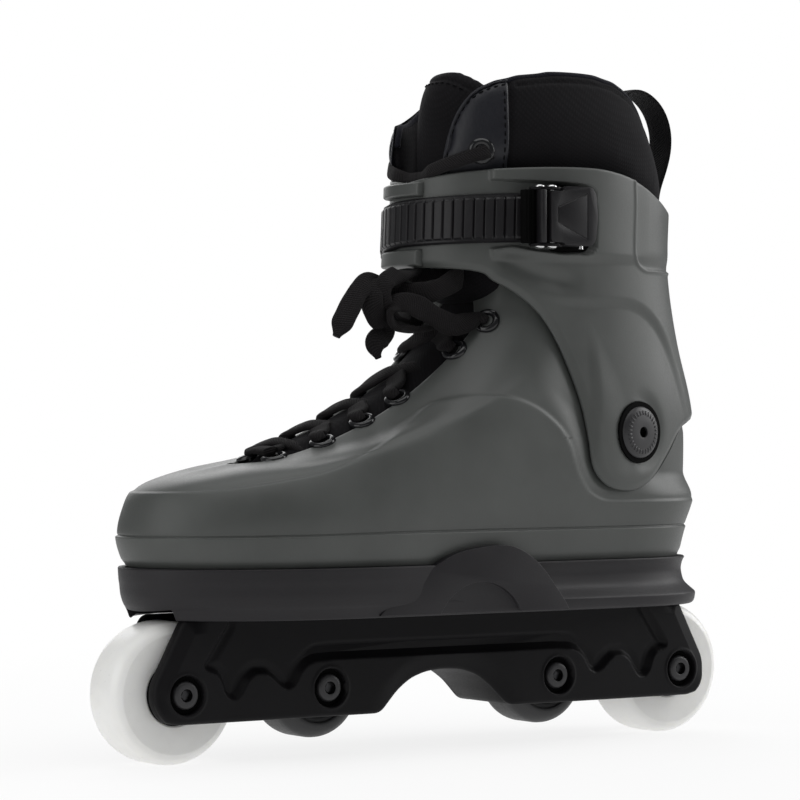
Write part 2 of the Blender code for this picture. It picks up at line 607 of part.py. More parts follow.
def make_frame_bolts():
    for x, word in zip(FRAME_BOLT_X, ("front", "rear")):
        bolt = cylinder(f"frame_bolt_{word}", (x, 0, 47.2), (x, 0, DECK_BOTTOM - GAP), 5.4, "black_steel", 20)
        join(bolt, cylinder(f"frame_bolt_shank_{word}", (x, 0, 51), (x, 0, 87), 3.0, sides=16))
        cut(bolt, cylinder(f"frame_bolt_socket_{word}", (x, 0, 40), (x, 0, 50), 2.5, sides=6))
        nut = cylinder(f"frame_nut_{word}", (x, 0, 82), (x, 0, SHELL_FLOOR + GAP), 5.0, "bare_steel", 20)
        join(nut, cylinder(f"frame_nut_flange_{word}", (x, 0, SHELL_FLOOR + GAP - 0.1), (x, 0, 86.9), 8.5, sides=20))
        cut(nut, cylinder(f"frame_nut_thread_{word}", (x, 0, 70), (x, 0, 95), 3.3, sides=16))


# ---------------------------------------------------------------- liner

def liner_floor(x):
    """The height of the liner's underside, which rises towards the heel over the shock absorber."""
    return 87.4 + 4.4 * float(smooth_step(60, -110, x))


def split_height(x, radius):
    return PIVOT_Z + math.sqrt(max(radius**2 - (x - PIVOT_X) ** 2, 0))


def make_bootie():
    around = np.arange(0, AROUND, 1.0)
    rows = np.array([0.25, 1, 2, 2.5, 3, 3.8, 4.6, 5.4, 6.2, 7, 8])
    outer_inset = SHELL_WALL + BOOTIE_GAP
    outer = boot_surface(around, rows, outer_inset)
    inner = boot_surface(around, rows, outer_inset + BOOTIE_WALL)
    for ring, lift in ((outer, 0.0), (inner, BOOTIE_WALL)):
        for column in range(ring.shape[1]):
            ring[0, column, 2] = liner_floor(ring[0, column, 0]) + lift
            top = ring[-1, column]
            ring[-1, column, 2] = split_height(top[0], SPLIT_R)
            top[0] += 0.12 * max(top[2] - 206, 0) * min(max((-62 - top[0]) / 60, 0), 1)
            ring[-1, column, 2] = split_height(top[0], SPLIT_R)
    bootie = wall_between("liner_bootie", outer, inner, True, "black_neoprene", floor=True)
    for side in (1, -1):
        cut(bootie, pivot_cylinder(f"liner_pocket_{side}", side, 32.2, 60, 11))
    return bootie


def make_collar():
    angles = np.linspace(31, 329, 26)
    shares = np.array([0, 0.2, 0.42, 0.6, 0.8, 0.93, 1.0])

    def grid(inwards):
        rows = []
        for share in shares:
            row = []
            for angle in angles:
                x = cuff_point(angle, 230, -CUFF_WALL - LINER_GAP)[0]
                low = split_height(x, SPLIT_R + 4)
                high = mirrored_edge(COLLAR_HIGH, angle)
                z = low + (high - low) * share
                rim = mirrored_edge(CUFF_HIGH, angle)
                out = -CUFF_WALL - LINER_GAP + 2.6 * float(smooth_step(rim + 1, rim + 9, z))
                out -= 5.5 * float(smooth_step(high - 22, high + 1, z))
                round_top = 2.6 if share == 1.0 and not inwards else 0.0
                row.append(cuff_point(angle, z, out - inwards - round_top))
            rows.append(row)
        return np.array(rows)

    return wall_between("liner_collar", grid(0), grid(COLLAR_WALL), False, "black_neoprene")


def make_tongue():
    low, high = 216.0, 289.0
    outline = []
    for x, z in ((-2.5, low), (-2.0, 238), (-3.0, 262), (-6.5, 280), (-12, high - 1), (-16.5, high), (-20, 284),
                 (-17.5, 268), (-14.5, 245), (-14.5, low)):
        outline.append((x, z))
    return slab("tongue", outline, -12.4, 12.4, "black_neoprene", bevel=2.0)


def make_pull_loop():
    line = [(-105.6, 249), (-103.4, 257), (-102.4, 268), (-103.6, 278), (-107.5, 284.2), (-113.5, 286), (-120, 284),
            (-126.5, 278.5), (-130.6, 269.5), (-130.6, 259), (-127.5, 249), (-124.6, 241), (-123.6, 233)]
    thick = 1.0
    points = np.array(line, float)
    along = np.gradient(points, axis=0)
    normal = np.stack([-along[:, 1], along[:, 0]], axis=-1)
    normal /= np.linalg.norm(normal, axis=-1, keepdims=True)
    outline = [*map(tuple, points + normal * thick), *map(tuple, (points - normal * thick)[::-1])]
    return slab("pull_loop", outline, -8.0, 8.0, "black_webbing")


def make_footbed():
    def inside(margin, low_x=-200):
        return [(x, y) for x, y in sole_outline(-margin) if x > low_x]

    lift = BOOTIE_WALL + GAP
    plate("footbed", inside(13.0), lambda x: liner_floor(x) + lift, lambda x: liner_floor(x) + lift + 3.0, "foam")
    heel = inside(7.0, -122)
    heel = [(x, y) for x, y in heel if x < -20]
    absorber = plate("shock_absorber", sorted_round(heel), SHELL_FLOOR + GAP, lambda x: liner_floor(x) - GAP,
                     "black_urethane")
    x = FRAME_BOLT_X[1]
    cut(absorber, cylinder("absorber_recess", (x, 0, 80), (x, 0, 87.6), 9.2, sides=20))


def sorted_round(points):
    """Points in order of their angle about their middle."""
    middle = np.mean(points, axis=0)
    return sorted(points, key=lambda p: math.atan2(p[1] - middle[1], p[0] - middle[0]))


# ---------------------------------------------------------------- laces

def make_laces():
    lift = 3.2
    spots = {}
    for (x, z), pair in zip(EYELETS, np.reshape(np.arange(12), (6, 2))):
        for side, index in zip((1, -1), pair):
            place, normal = surface_at(x, z, side)
            spots[side, index // 2] = Vector(place) + Vector(normal) * (lift + 0.3 * (index // 2))
    lattice = cylinder("lace_lattice", spots[1, 0], spots[-1, 0], 2.3, "black_webbing", 8)
    for level in range(5):
        for side in (1, -1):
            start, end = spots[side, level], spots[-side, level + 1]
            reach = (end - start).normalized() * (0.7 + 0.13 * level)
            radius = 2.15 + 0.06 * side + 0.023 * level
            join(lattice, cylinder(f"lace_bar_{level}_{side}", start - reach, end + reach, radius, sides=8))
    return lattice


def make_bow():
    shape = bmesh.new()
    bmesh.ops.create_icosphere(shape, subdivisions=2, radius=1.0)
    bmesh.ops.scale(shape, vec=(17, 25, 9.5), verts=shape.verts)
    turn = Matrix.Rotation(math.radians(42), 4, "Y")
    bmesh.ops.transform(shape, matrix=Matrix.Translation((11.5, 0, 181)) @ turn, verts=shape.verts)
    return add_object("lace_bow", finish_bmesh("lace_bow", shape), "black_webbing")


# ---------------------------------------------------------------- strap and buckle

def make_strap():
    angles = np.linspace(-96, 75, 27)

    def grid(out):
        rows = []
        for share in (0, 0.5, 1):
            row = []
            for angle in angles:
                low = np.interp(angle, (-96, 0, 80), (207, 212.5, 214.6))
                high = np.interp(angle, (-96, 0, 80), (228, 232.5, 235.2))
                row.append(cuff_point(angle, low + (high - low) * share, out))
            rows.append(row)
        return np.array(rows)

    strap = wall_between("ladder_strap", grid(3.6), grid(0.5), False, "black_plastic")
    place = cuff_point(-88, 218, 0)
    cut(strap, cylinder("strap_hole", place, (place[0], place[1] - 9, place[2]), 3.2, sides=16))
    screw = cylinder("strap_screw", (place[0], place[1] - 4.3, place[2]), (place[0], place[1] - 6.2, place[2]), 5.5,
                     "black_steel", 20)
    join(screw, cylinder("strap_screw_shank", (place[0], place[1] - 0.6, place[2]), (place[0], place[1] - 5, place[2]),
                         2.6, sides=16))
    return strap


def make_buckle():
    low, high = BUCKLE_Z
    pin_x, pin_y = LEVER_PIN
    pawl_x, pawl_y = PAWL_PIN
    base = box("buckle_base", (pin_x - 21, 44.6, low), (pin_x - 11, 46.0, high), "black_steel")
    for z in (low, high - 1.2):
        join(base, box(f"buckle_ear_{z:.0f}", (pin_x - 21, 45, z), (pin_x + 5, 52.2, z + 1.2)))
    cut(base, cylinder("buckle_pin_hole", (pin_x, pin_y, low - 5), (pin_x, pin_y, high + 5), 1.6, sides=12))
    cut(base, cylinder("pawl_pin_hole", (pawl_x, pawl_y, low - 5), (pawl_x, pawl_y, high + 5), 1.3, sides=12))
    cylinder("buckle_pin", (pin_x, pin_y, low - 0.6), (pin_x, pin_y, high + 0.6), 1.3, "bare_steel", 12)
    cylinder("pawl_pin", (pawl_x, pawl_y, low - 0.6), (pawl_x, pawl_y, high + 0.6), 1.0, "bare_steel", 10)
    lever = box("buckle_lever", (pin_x - 24.5, 51.6, low + 1.6), (pin_x + 1, 53.2, high - 1.6), "black_plastic", bevel=0.5)
    join(lever, cylinder("lever_knuckle", (pin_x, pin_y, low + 1.6), (pin_x, pin_y, high - 1.6), 2.8, sides=16))
    cut(lever, cylinder("lever_bore", (pin_x, pin_y, low - 5), (pin_x, pin_y, high + 5), 1.6, sides=12))
    pawl = cylinder("buckle_pawl", (pawl_x, pawl_y, low + 4), (pawl_x, pawl_y, high - 4), 1.9, "black_steel", 12)
    blade = [(pawl_x - 0.5, pawl_y + 1.3), (pawl_x + 8.5, pawl_y - 0.3), (pawl_x + 9.4, pawl_y - 1.0),
             (pawl_x - 0.5, pawl_y - 1.3)]
    join(pawl, plate("pawl_blade", blade, low + 4.5, high - 4.5))
    cut(pawl, cylinder("pawl_bore", (pawl_x, pawl_y, low - 5), (pawl_x, pawl_y, high + 5), 1.25, sides=10))


# ---------------------------------------------------------------- the whole skate

def hang_on_axis(name, place, pieces):
    """Parents the pieces of one moving body to an empty on its joint's axis. The place is in millimetres."""
    pivot = bpy.data.objects.new(name, None)
    pivot.location = Vector(place) * MM
    pivot.empty_display_size = 10 * MM
    bpy.data.collections[SKATE].objects.link(pivot)
    for piece in pieces:
        obj = bpy.data.objects[piece]
        obj.parent = pivot
        obj.matrix_parent_inverse = Matrix.Translation(-pivot.location)



def main():
    clear_scene()
    make_wheels()
    make_axles()
    make_frame()
    make_frame_bolts()
    make_soul_plate()
    make_shell()
    make_cuff()
    make_cuff_bolts()
    make_bootie()
    make_collar()
    make_tongue()
    make_pull_loop()
    make_footbed()
    make_laces()
    make_bow()
    make_strap()
    make_buckle()
    flap = ("cuff", "liner_collar", "tongue", "pull_loop", "ladder_strap", "strap_screw", "buckle_base", "buckle_pin",
            "pawl_pin")
    middle = sum(BUCKLE_Z) / 2
    hang_on_axis("cuff_axis", (PIVOT_X, 0, PIVOT_Z), flap)
    hang_on_axis("lever_axis", (*LEVER_PIN, middle), ["buckle_lever"])
    hang_on_axis("pawl_axis", (*PAWL_PIN, middle), ["buckle_pawl"])


main()
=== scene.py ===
"""The look of a left inline skate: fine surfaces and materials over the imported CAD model.

The CAD model's frame is kept: metres, +X towards the toe, +Y to the outer side of the foot, +Z up, origin on
the ground midway between the end axles. The shapes are worked out in millimetres and scaled when a mesh is
made, in add_mesh and bare.
"""

import math

import bmesh
import bpy
import numpy as np
from mathutils import Matrix, Vector
from mathutils.bvhtree import BVHTree


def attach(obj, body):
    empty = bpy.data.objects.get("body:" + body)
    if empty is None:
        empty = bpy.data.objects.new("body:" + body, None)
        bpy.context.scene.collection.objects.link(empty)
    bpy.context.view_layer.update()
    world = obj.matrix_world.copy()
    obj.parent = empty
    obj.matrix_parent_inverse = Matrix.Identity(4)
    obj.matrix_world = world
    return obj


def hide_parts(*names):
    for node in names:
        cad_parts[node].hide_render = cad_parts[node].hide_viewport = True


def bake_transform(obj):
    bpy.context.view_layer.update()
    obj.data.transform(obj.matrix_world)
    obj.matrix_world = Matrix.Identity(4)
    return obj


MM = 0.001
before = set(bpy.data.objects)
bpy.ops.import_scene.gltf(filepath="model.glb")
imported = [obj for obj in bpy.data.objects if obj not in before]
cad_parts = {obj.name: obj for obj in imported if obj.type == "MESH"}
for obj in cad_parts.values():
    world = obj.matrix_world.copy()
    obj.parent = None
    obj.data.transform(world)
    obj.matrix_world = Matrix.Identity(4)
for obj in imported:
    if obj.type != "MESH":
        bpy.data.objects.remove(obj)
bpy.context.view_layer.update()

# Wheels, axles and frame
AXLE_Z = 29.0
AXLE_X = (126.5, 58.5, -58.5, -126.5)
WHEEL_R = (29.0, 21.5, 21.5, 29.0)
WHEEL_NAMES = ("front", "front_inner", "rear_inner", "rear")
WHEEL_HALF_W = 12.0
FRAME_HALF_W = 20.5
FRAME_SLOT_HALF_W = 14.0
FRAME_BOTTOM, FRAME_TOP, DECK_BOTTOM = 17.2, 59.7, 52.0
COUNTERBORE_R, COUNTERBORE_DEPTH = 7.8, 3.2
FRAME_HALF_LENGTH = 140.68
FLANK_BASE = 17.0  # half the width at which the frame's shaped sides start

# Soul plate and boot
PLATE_BOTTOM = 60.0
SHELL_BOTTOM = 79.7
SHELL_WALL = 3.0
PIVOT_X, PIVOT_Z = -85.0, 134.0
PIVOT_HALF_W = 44.0
PIVOT_TILT = math.radians(10)
CUFF_WALL = 3.3
THROAT_ROW, RIM_ROW = 4.05, 7.9  # the boot's rows where its throat starts and where it ends
THROAT_ROUND = 0.16  # how many rows the throat's end at the toe is rounded over
SHELF_STEP = 0.8  # how far the boot's side steps in at the shelf line
TOE_IN = 4.0  # how far the toe bends to the inner side

# The sole's outline, near side, toe to heel: (x, y).
SOLE = [(136.5, 0), (131.5, 17.5), (116.5, 31.5), (94, 41), (67, 44.8), (35, 44), (0, 41), (-38, 38.5),
        (-75, 37), (-104, 33.5), (-123.5, 21), (-131, 0)]
# The boot's surface above it: one column for each outline point, from the side wall up to the ankle.
COLUMNS = [
    [(140, 0, 92), (137.5, 0, 104), (128, 0, 114), (97, 0, 121.5), (62, 0, 131.5), (22, 0, 152),
     (-11, 0, 181), (-22, 0, 206)],
    [(135, 18.5, 92), (132.5, 18.2, 104), (122, 16, 115), (91, 9.5, 121.8), (60, 15.5, 130.5),
     (20, 17.5, 150.5), (-13, 20, 180), (-25, 22, 206)],
    [(119.5, 33.5, 92.1), (117.5, 33.3, 104), (107, 29.5, 116.5), (86, 23, 122.5), (55, 26, 129.5),
     (16, 28, 147.5), (-17, 29, 177), (-31, 29, 206)],
    [(96, 43.5, 92.3), (95, 43.5, 105), (86, 39, 118), (70, 34.5, 123.5), (44, 36.8, 131.4),
     (10, 37.6, 145.4), (-22, 36, 172), (-38, 34, 206)],
    [(69, 48, 92.6), (68, 48, 106), (62, 44, 119), (50, 41.9, 126.6), (31, 41.7, 133.4), (2, 42.1, 145.2),
     (-29, 40, 168), (-47, 37.2, 206)],
    [(35, 46.5, 93), (35, 47.4, 106), (31, 46.6, 119), (23, 45.6, 128.6), (9, 44.9, 137.2),
     (-13, 44.3, 148.8), (-39, 42, 169), (-58, 39, 206)],
    [(0, 43.5, 93), (-1, 46, 105), (-4, 46.8, 119), (-9, 46.6, 130), (-18, 46.2, 140), (-34, 45.3, 151),
     (-52, 42.8, 171), (-69, 39.5, 206)],
    [(-38, 41, 93), (-39, 44.2, 105), (-41, 46.2, 119), (-44, 46.3, 131), (-49, 46, 142), (-58, 45, 153),
     (-69, 42.5, 172), (-80, 38.8, 206)],
    [(-75, 39.5, 93), (-76, 43, 105), (-77, 45, 119), (-78, 45.3, 131), (-80, 45, 142), (-84, 43.8, 154),
     (-88, 41.2, 172), (-91, 36.8, 206)],
    [(-105, 36, 93), (-107, 39, 105), (-107.5, 40.6, 119), (-107.5, 40.8, 131), (-107, 40.3, 142),
     (-105.5, 39, 154), (-103.5, 36.6, 172), (-101, 32, 206)],
    [(-126.5, 22.5, 93), (-130, 24.5, 105), (-131, 25.2, 119), (-131, 25.4, 131), (-130, 25.2, 142),
     (-126.5, 24.4, 154), (-121, 22.5, 172), (-112, 19.5, 206)],
    [(-134, 0, 93), (-137.5, 0, 104.5), (-139, 0, 119), (-139.3, 0, 131), (-138.5, 0, 142), (-135.3, 0, 154),
     (-129, 0, 172), (-118, 0, 206)],
]
# The line on the boot's side where the recess that the cuff swings in starts: (x, z), heel to toe.
SHELF = [(-150, 104), (-100, 104), (-84, 104), (-71, 104.1), (-63.5, 105.3), (-57.4, 108.2), (-53.2, 112.6),
         (-49.4, 118.8), (-46.4, 127), (-42, 134), (-36.5, 139), (-27.5, 144.6), (-13.4, 149), (0.6, 149.3),
         (12.7, 147), (23, 141.6), (38.3, 133), (55, 124.8), (71.4, 118.8), (87.7, 115.3), (108, 112),
         (128, 110), (160, 109)]
# The lace's eyelets on the outer side, toe to ankle: (x, z).
EYELETS = [(79, 124), (58.7, 130.5), (39.7, 139), (22.9, 148.5), (-4, 168.5), (-17, 181)]

# The cuff's outline by height: (z, front x, back x, half width).
CUFF_RINGS = [(104, 32, -139.6, 46.2), (120, 29, -139.8, 46.4), (141, 20, -139, 46.2), (160, 14, -134, 45.6),
              (177, 11, -129, 45), (205, 9, -124.2, 44.4), (228, 8, -124.6, 44), (246, 7.5, -124, 43.8),
              (290, 5, -122, 42)]
ROUNDNESS = 2.2  # the power of the cuff's superellipses, where 2 is an ellipse
# The cuff's lower and upper edges, by angle from the front: (degrees, height).
CUFF_LOW = [(0, 205), (40, 203.2), (50, 199.4), (57, 195.8), (65.5, 190), (73.5, 181), (80.3, 166.5),
            (85.6, 150), (89.3, 135), (91, 125.5), (92.9, 118.4), (96.6, 112.9), (101.4, 110.4),
            (107.2, 110.2), (113.4, 113), (120, 119.6), (128.5, 130.4), (135, 136.5), (143, 139.5),
            (155, 140.5), (180, 141)]
CUFF_HIGH = [(0, 239), (40, 243), (80, 245.2), (95, 244.8), (105, 243), (115, 240), (125, 236), (135, 232.5),
             (145, 230.2), (160, 229), (180, 229)]
CUFF_ENDS = (-32.0, 322.0)
CUFF_DEGREE = 0.95  # millimetres along the cuff's face for each degree

LINER_GAP = 1.9
# The collar's edge and the inner flap's, by angle from the front: (degrees, height).
COLLAR_HIGH = [(20, 233), (21.8, 248), (25.4, 262), (31.4, 272.5), (41.2, 280.2), (60, 285.5), (90, 288.3),
               (120, 281.5), (150, 264), (180, 258)]
COLLAR_HIGH_FAR = [(22, 233), (22.2, 254), (23.2, 260.5), (25.6, 265.2), (29.6, 267.8), (37, 269), (45, 271),
                   (54, 276), (63, 282.3), (76, 287), (90, 288.3), (120, 281.5), (150, 264), (180, 258)]

LEVER_PIN = (-32.5, 50.2)
BUCKLE_Z = (212.0, 237.0)


# ---------------------------------------------------------------- mathematics

def spline_weights(count, at, periodic=False):
    """Weights that read a cubic spline through count evenly spaced points, one row for each place in at."""
    eye = np.eye(count)
    if periodic:
        left, right = np.roll(eye, -1, axis=1), np.roll(eye, 1, axis=1)
        bends = np.linalg.solve(4 * eye + left + right, 6 * (left + right - 2 * eye))
    else:
        matrix, values = np.eye(count), np.zeros((count, count))
        for i in range(1, count - 1):
            matrix[i, i - 1:i + 2] = 1, 4, 1
            values[i, i - 1:i + 2] = 6, -12, 6
        bends = np.linalg.solve(matrix, values)
    at = np.asarray(at, float)
    first = np.floor(at).astype(int) if periodic else np.clip(np.floor(at).astype(int), 0, count - 2)
    after = (at - first)[:, None]
    before = 1 - after
    first, second = first % count, (first + 1) % count
    return (before * eye[first] + after * eye[second]
            + ((before**3 - before) * bends[first] + (after**3 - after) * bends[second]) / 6)


def unit(vectors):
    return vectors / np.maximum(np.linalg.norm(vectors, axis=-1, keepdims=True), 1e-9)


def smooth_line(points, count):
    """A smooth line through points, evenly stepped in its own parameter."""
    points = np.asarray(points, float)
    return spline_weights(len(points), np.linspace(0, len(points) - 1, count)) @ points


def length_along(path):
    """The length of a path up to each of its points."""
    return np.concatenate([[0], np.cumsum(np.linalg.norm(np.diff(path, axis=0), axis=1))])


def read_along(path, run, at):
    """A path's columns at other lengths along it."""
    return np.stack([np.interp(at, run, column) for column in np.transpose(path)], axis=1)


def even_line(points, count):
    """The same line with evenly spaced points along its length."""
    points = np.asarray(points, float)
    along = length_along(points)
    return read_along(points, along, np.linspace(0, along[-1], count))


def blur_weights(sigma, step, reach):
    weights = np.exp(-0.5 * (np.arange(-reach, reach + 1) * step / sigma) ** 2)
    return weights / weights.sum()


def soft_corners(points, radius):
    """A closed line of straight runs with its corners worn round."""
    step = 0.5
    points = np.concatenate([points, points[:1]]).astype(float)
    line = even_line(points, int(length_along(points)[-1] / step))[:-1]
    reach = int(3 * radius / step)
    weights = blur_weights(radius, step, reach)
    padded = np.concatenate([line[-reach:], line, line[:reach]])
    return np.stack([np.convolve(padded[:, k], weights, "valid") for k in (0, 1)], axis=1)


def worn(path, sigma, step):
    """An evenly stepped open line, its sharp turns eased. Columns after the third are carried along."""
    path = np.asarray(path, float)
    run = length_along(path[:, :3])
    line = read_along(path, run, np.linspace(0, run[-1], int(run[-1] / step) + 1))
    reach = int(4 * sigma / step)
    weights = blur_weights(sigma, step, reach)
    padded = np.concatenate([2 * line[:1] - line[reach:0:-1], line, 2 * line[-1:] - line[-2:-reach - 2:-1]])
    return np.stack([np.convolve(padded[:, k], weights, "valid") for k in range(line.shape[1])], axis=1)


def signed_angle(angle):
    """Degrees brought between -180 and 180."""
    return (np.asarray(angle, float) + 180) % 360 - 180


def quarter_round(share):
    """The height of a quarter circle, from 0 to 1."""
    return np.sqrt(np.clip(1 - (1 - np.clip(share, 0, 1)) ** 2, 0, 1))


def smooth_step(low, high, value):
    share = np.clip((value - low) / (high - low), 0, 1)
    return share * share * (3 - 2 * share)


def line_distance(points, line, closed=False):
    """Each point's distance to a line."""
    points = np.asarray(points, float)
    flat = points.reshape(-1, points.shape[-1])
    line = np.asarray(line, float)
    ends = np.roll(line, -1, axis=0) if closed else line[1:]
    starts = line if closed else line[:-1]
    best = np.full(len(flat), np.inf)
    for a, b in zip(starts, ends):
        along = b - a
        share = np.clip(((flat - a) @ along) / max(along @ along, 1e-12), 0, 1)
        best = np.minimum(best, np.linalg.norm(flat - a - share[:, None] * along, axis=1))
    return best.reshape(points.shape[:-1])


def inside(points, outline):
    """Whether each 2D point lies inside a closed outline."""
    x, y = points[..., 0], points[..., 1]
    found = np.zeros(x.shape, bool)
    outline = np.asarray(outline, float)
    for (ax, ay), (bx, by) in zip(outline, np.roll(outline, -1, axis=0)):
        if ay == by:
            continue
        crosses = (ay > y) != (by > y)
        found ^= crosses & (x < ax + (y - ay) * (bx - ax) / (by - ay))
    return found


def depth_inside(points, outline):
    """Distance to a closed outline, positive inside it."""
    far = line_distance(points, outline, closed=True)
    return np.where(inside(points, outline), far, -far)


def arc(centre, radius, start, end, count):
    angles = np.radians(np.linspace(start, end, count))
    return [(centre[0] + radius * math.cos(a), centre[1] + radius * math.sin(a)) for a in angles]


# ---------------------------------------------------------------- meshes

def link(name, data):
    obj = bpy.data.objects.new(name, data)
    bpy.context.scene.collection.objects.link(obj)
    return obj


def add_mesh(name, verts, faces, material, body=None, replaces=(), merge=None, sharp=None):
    """A mesh from points in millimetres, riding on a body. Points closer than merge become one."""
    mesh = bpy.data.meshes.new(name)
    verts = np.asarray(verts, float).reshape(-1, 3) * MM
    mesh.from_pydata(verts.tolist(), [], [list(map(int, face)) for face in faces])
    mesh.update()
    obj = link(name, mesh)
    if merge:
        merge_close(obj, merge)
    return settle(obj, material, body, replaces, sharp=sharp)


def settle(obj, material, body=None, replaces=(), smooth=True, sharp=None):
    """Gives a finished mesh its shading, material and body."""
    mesh = obj.data
    if smooth:
        mesh.shade_smooth()
    if sharp:
        mesh.set_sharp_from_angle(angle=math.radians(sharp))
    mesh.materials.clear()
    mesh.materials.append(material)
    if body:
        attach(obj, body)
    if replaces:
        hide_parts(*replaces)
    return obj


def grid_faces(rows, columns, wrap=False, start=0, flip=False):
    """Quads over a grid of points."""
    across = columns if wrap else columns - 1
    r, c = np.meshgrid(np.arange(rows - 1), np.arange(across), indexing="ij")
    d = (c + 1) % columns
    quads = np.stack([r * columns + c, r * columns + d, (r + 1) * columns + d, (r + 1) * columns + c],
                     axis=-1)
    quads = quads.reshape(-1, 4) + start
    return quads[:, ::-1] if flip else quads


def end_caps(rows, columns, start):
    """The two faces that close a wrapped grid at its ends."""
    last = start + (rows - 1) * columns
    return [list(range(start, start + columns))[::-1], list(range(last, last + columns))]


def tube_faces(rows, columns, start=0):
    return [list(face) for face in grid_faces(rows, columns, wrap=True, start=start)] + end_caps(rows,
                                                                                                 columns,
                                                                                                 start)


def slab_faces(rows, columns):
    """A slab whose front grid of points is followed by its back grid."""
    count = rows * columns
    across, up = np.arange(columns - 1), np.arange(rows - 1) * columns
    faces = [grid_faces(rows, columns), grid_faces(rows, columns, start=count, flip=True)]
    for line, step in ((across, 1), (across + (rows - 1) * columns, 1), (up, columns),
                       (up + columns - 1, columns)):
        faces.append(np.stack([line, line + step, line + step + count, line + count], axis=1))
    return np.concatenate(faces)


def merge_close(obj, distance):
    shape = bmesh.new()
    shape.from_mesh(obj.data)
    bmesh.ops.remove_doubles(shape, verts=shape.verts, dist=distance * MM)
    bmesh.ops.recalc_face_normals(shape, faces=shape.faces)
    shape.to_mesh(obj.data)
    shape.free()


def bare(name, shape):
    """An object without a material or a body, from a bmesh in millimetres."""
    bmesh.ops.scale(shape, vec=(MM, MM, MM), verts=shape.verts)
    bmesh.ops.recalc_face_normals(shape, faces=shape.faces)
    mesh = bpy.data.meshes.new(name)
    shape.to_mesh(mesh)
    shape.free()
    return link(name, mesh)


def prism(outline, low, high, axis="Y"):
    """A bmesh of a flat outline between two places along an axis: (x, z) along Y, or (x, y) along Z."""
    shape = bmesh.new()
    rings = []
    for level in (low, high):
        points = [(a, level, b) if axis == "Y" else (a, b, level) for a, b in outline]
        rings.append([shape.verts.new(point) for point in points])
    shape.faces.new(rings[0])
    shape.faces.new(rings[1])
    count = len(outline)
    for i in range(count):
        j = (i + 1) % count
        shape.faces.new((rings[0][i], rings[0][j], rings[1][j], rings[1][i]))
    bmesh.ops.recalc_face_normals(shape, faces=shape.faces)
    return shape


def bar(start, end, radius, sides):
    """A bmesh cylinder between two points."""
    start, end = Vector(start), Vector(end)
    along = end - start
    shape = bmesh.new()
    bmesh.ops.create_cone(shape, cap_ends=True, segments=sides, radius1=radius, radius2=radius,
                          depth=along.length)
    turn = along.to_track_quat("Z", "Y").to_matrix().to_4x4()
    bmesh.ops.transform(shape, matrix=Matrix.Translation((start + end) / 2) @ turn, verts=shape.verts)
    return shape


def block(low, high):
    shape = bmesh.new()
    low, high = Vector(low), Vector(high)
    bmesh.ops.create_cube(shape, size=1.0)
    bmesh.ops.scale(shape, vec=high - low, verts=shape.verts)
    bmesh.ops.translate(shape, vec=(low + high) / 2, verts=shape.verts)
    return shape


def carve(name, shape, bevel, cuts=(), joins=(), segments=2):
    """An object from a shape, with others joined to it and cut from it, and its edges rounded by bevel."""
    obj = bare(name, shape)
    helpers = []
    for kind, shapes in (("UNION", joins), ("DIFFERENCE", cuts)):
        for index, other in enumerate(shapes):
            helper = bare(f"{name}_{kind}_{index}", other)
            helpers.append(helper)
            modifier = obj.modifiers.new(helper.name, "BOOLEAN")
            modifier.operation = kind
            modifier.solver = "EXACT"
            modifier.object = helper
    modifier = obj.modifiers.new("round", "BEVEL")
    modifier.width = bevel * MM
    modifier.segments = segments
    modifier.limit_method = "ANGLE"
    modifier.angle_limit = math.radians(32)
    freeze(obj)
    for helper in helpers:
        bpy.data.objects.remove(helper)
    return obj


def freeze(obj):
    """Applies an object's modifiers."""
    graph = bpy.context.evaluated_depsgraph_get()
    mesh = bpy.data.meshes.new_from_object(obj.evaluated_get(graph))
    obj.modifiers.clear()
    obj.data = mesh


def lathe(name, profile, place, material, body, replaces=(), *, steps, sharp, along=(0, 1, 0), closed=True):
    """A turned piece about a line through place. The profile is (radius, distance along the axis)."""
    profile = np.asarray(profile, float)
    turns = np.linspace(0, math.tau, steps, endpoint=False)
    axis = Vector(along).normalized()
    side = axis.cross(Vector((0.123, 0.05, 1))).normalized()
    other = axis.cross(side)
    ring = [side * math.cos(t) + other * math.sin(t) for t in turns]
    points = [[Vector(place) + axis * float(y) + v * float(r) for v in ring] for r, y in profile]
    if closed:
        points.append(points[0])
    faces = grid_faces(len(points), steps, wrap=True)
    return add_mesh(name, np.array(points), faces, material, body, replaces, merge=0.002, sharp=sharp)


def turned_line(name, line, place, material, body, **settings):
    """A turned piece whose profile is an open line, shaded smooth all over."""
    return lathe(name, line, place, material, body, closed=False, sharp=None, **settings)


def rounded(profile, radius, count=4):
    """Rounds the corners of an open or closed list of 2D points."""
    points = [Vector((*p, 0)) for p in profile]
    out = []
    for i, point in enumerate(points):
        before, after = points[i - 1] - point, points[(i + 1) % len(points)] - point
        reach = min(radius, before.length * 0.45, after.length * 0.45)
        a, b = point + before.normalized() * reach, point + after.normalized() * reach
        for k in range(count + 1):
            t = k / count
            spot = a * (1 - t) ** 2 + point * 2 * t * (1 - t) + b * t**2
            out.append((spot.x, spot.y))
    return out


# ---------------------------------------------------------------- materials

def new_material(name, colour, roughness, metallic=0.0):
    material = bpy.data.materials.new(name)
    material.use_nodes = True
    shader = material.node_tree.nodes["Principled BSDF"]
    shader.inputs["Base Color"].default_value = (*colour, 1)
    shader.inputs["Roughness"].default_value = roughness
    shader.inputs["Metallic"].default_value = metallic
    return material, shader, material.node_tree


def add_node(tree, kind, **values):
    node = tree.nodes.new(kind)
    for key, value in values.items():
        if key in node.inputs:
            node.inputs[key].default_value = value
        else:
            setattr(node, key, value)
    return node


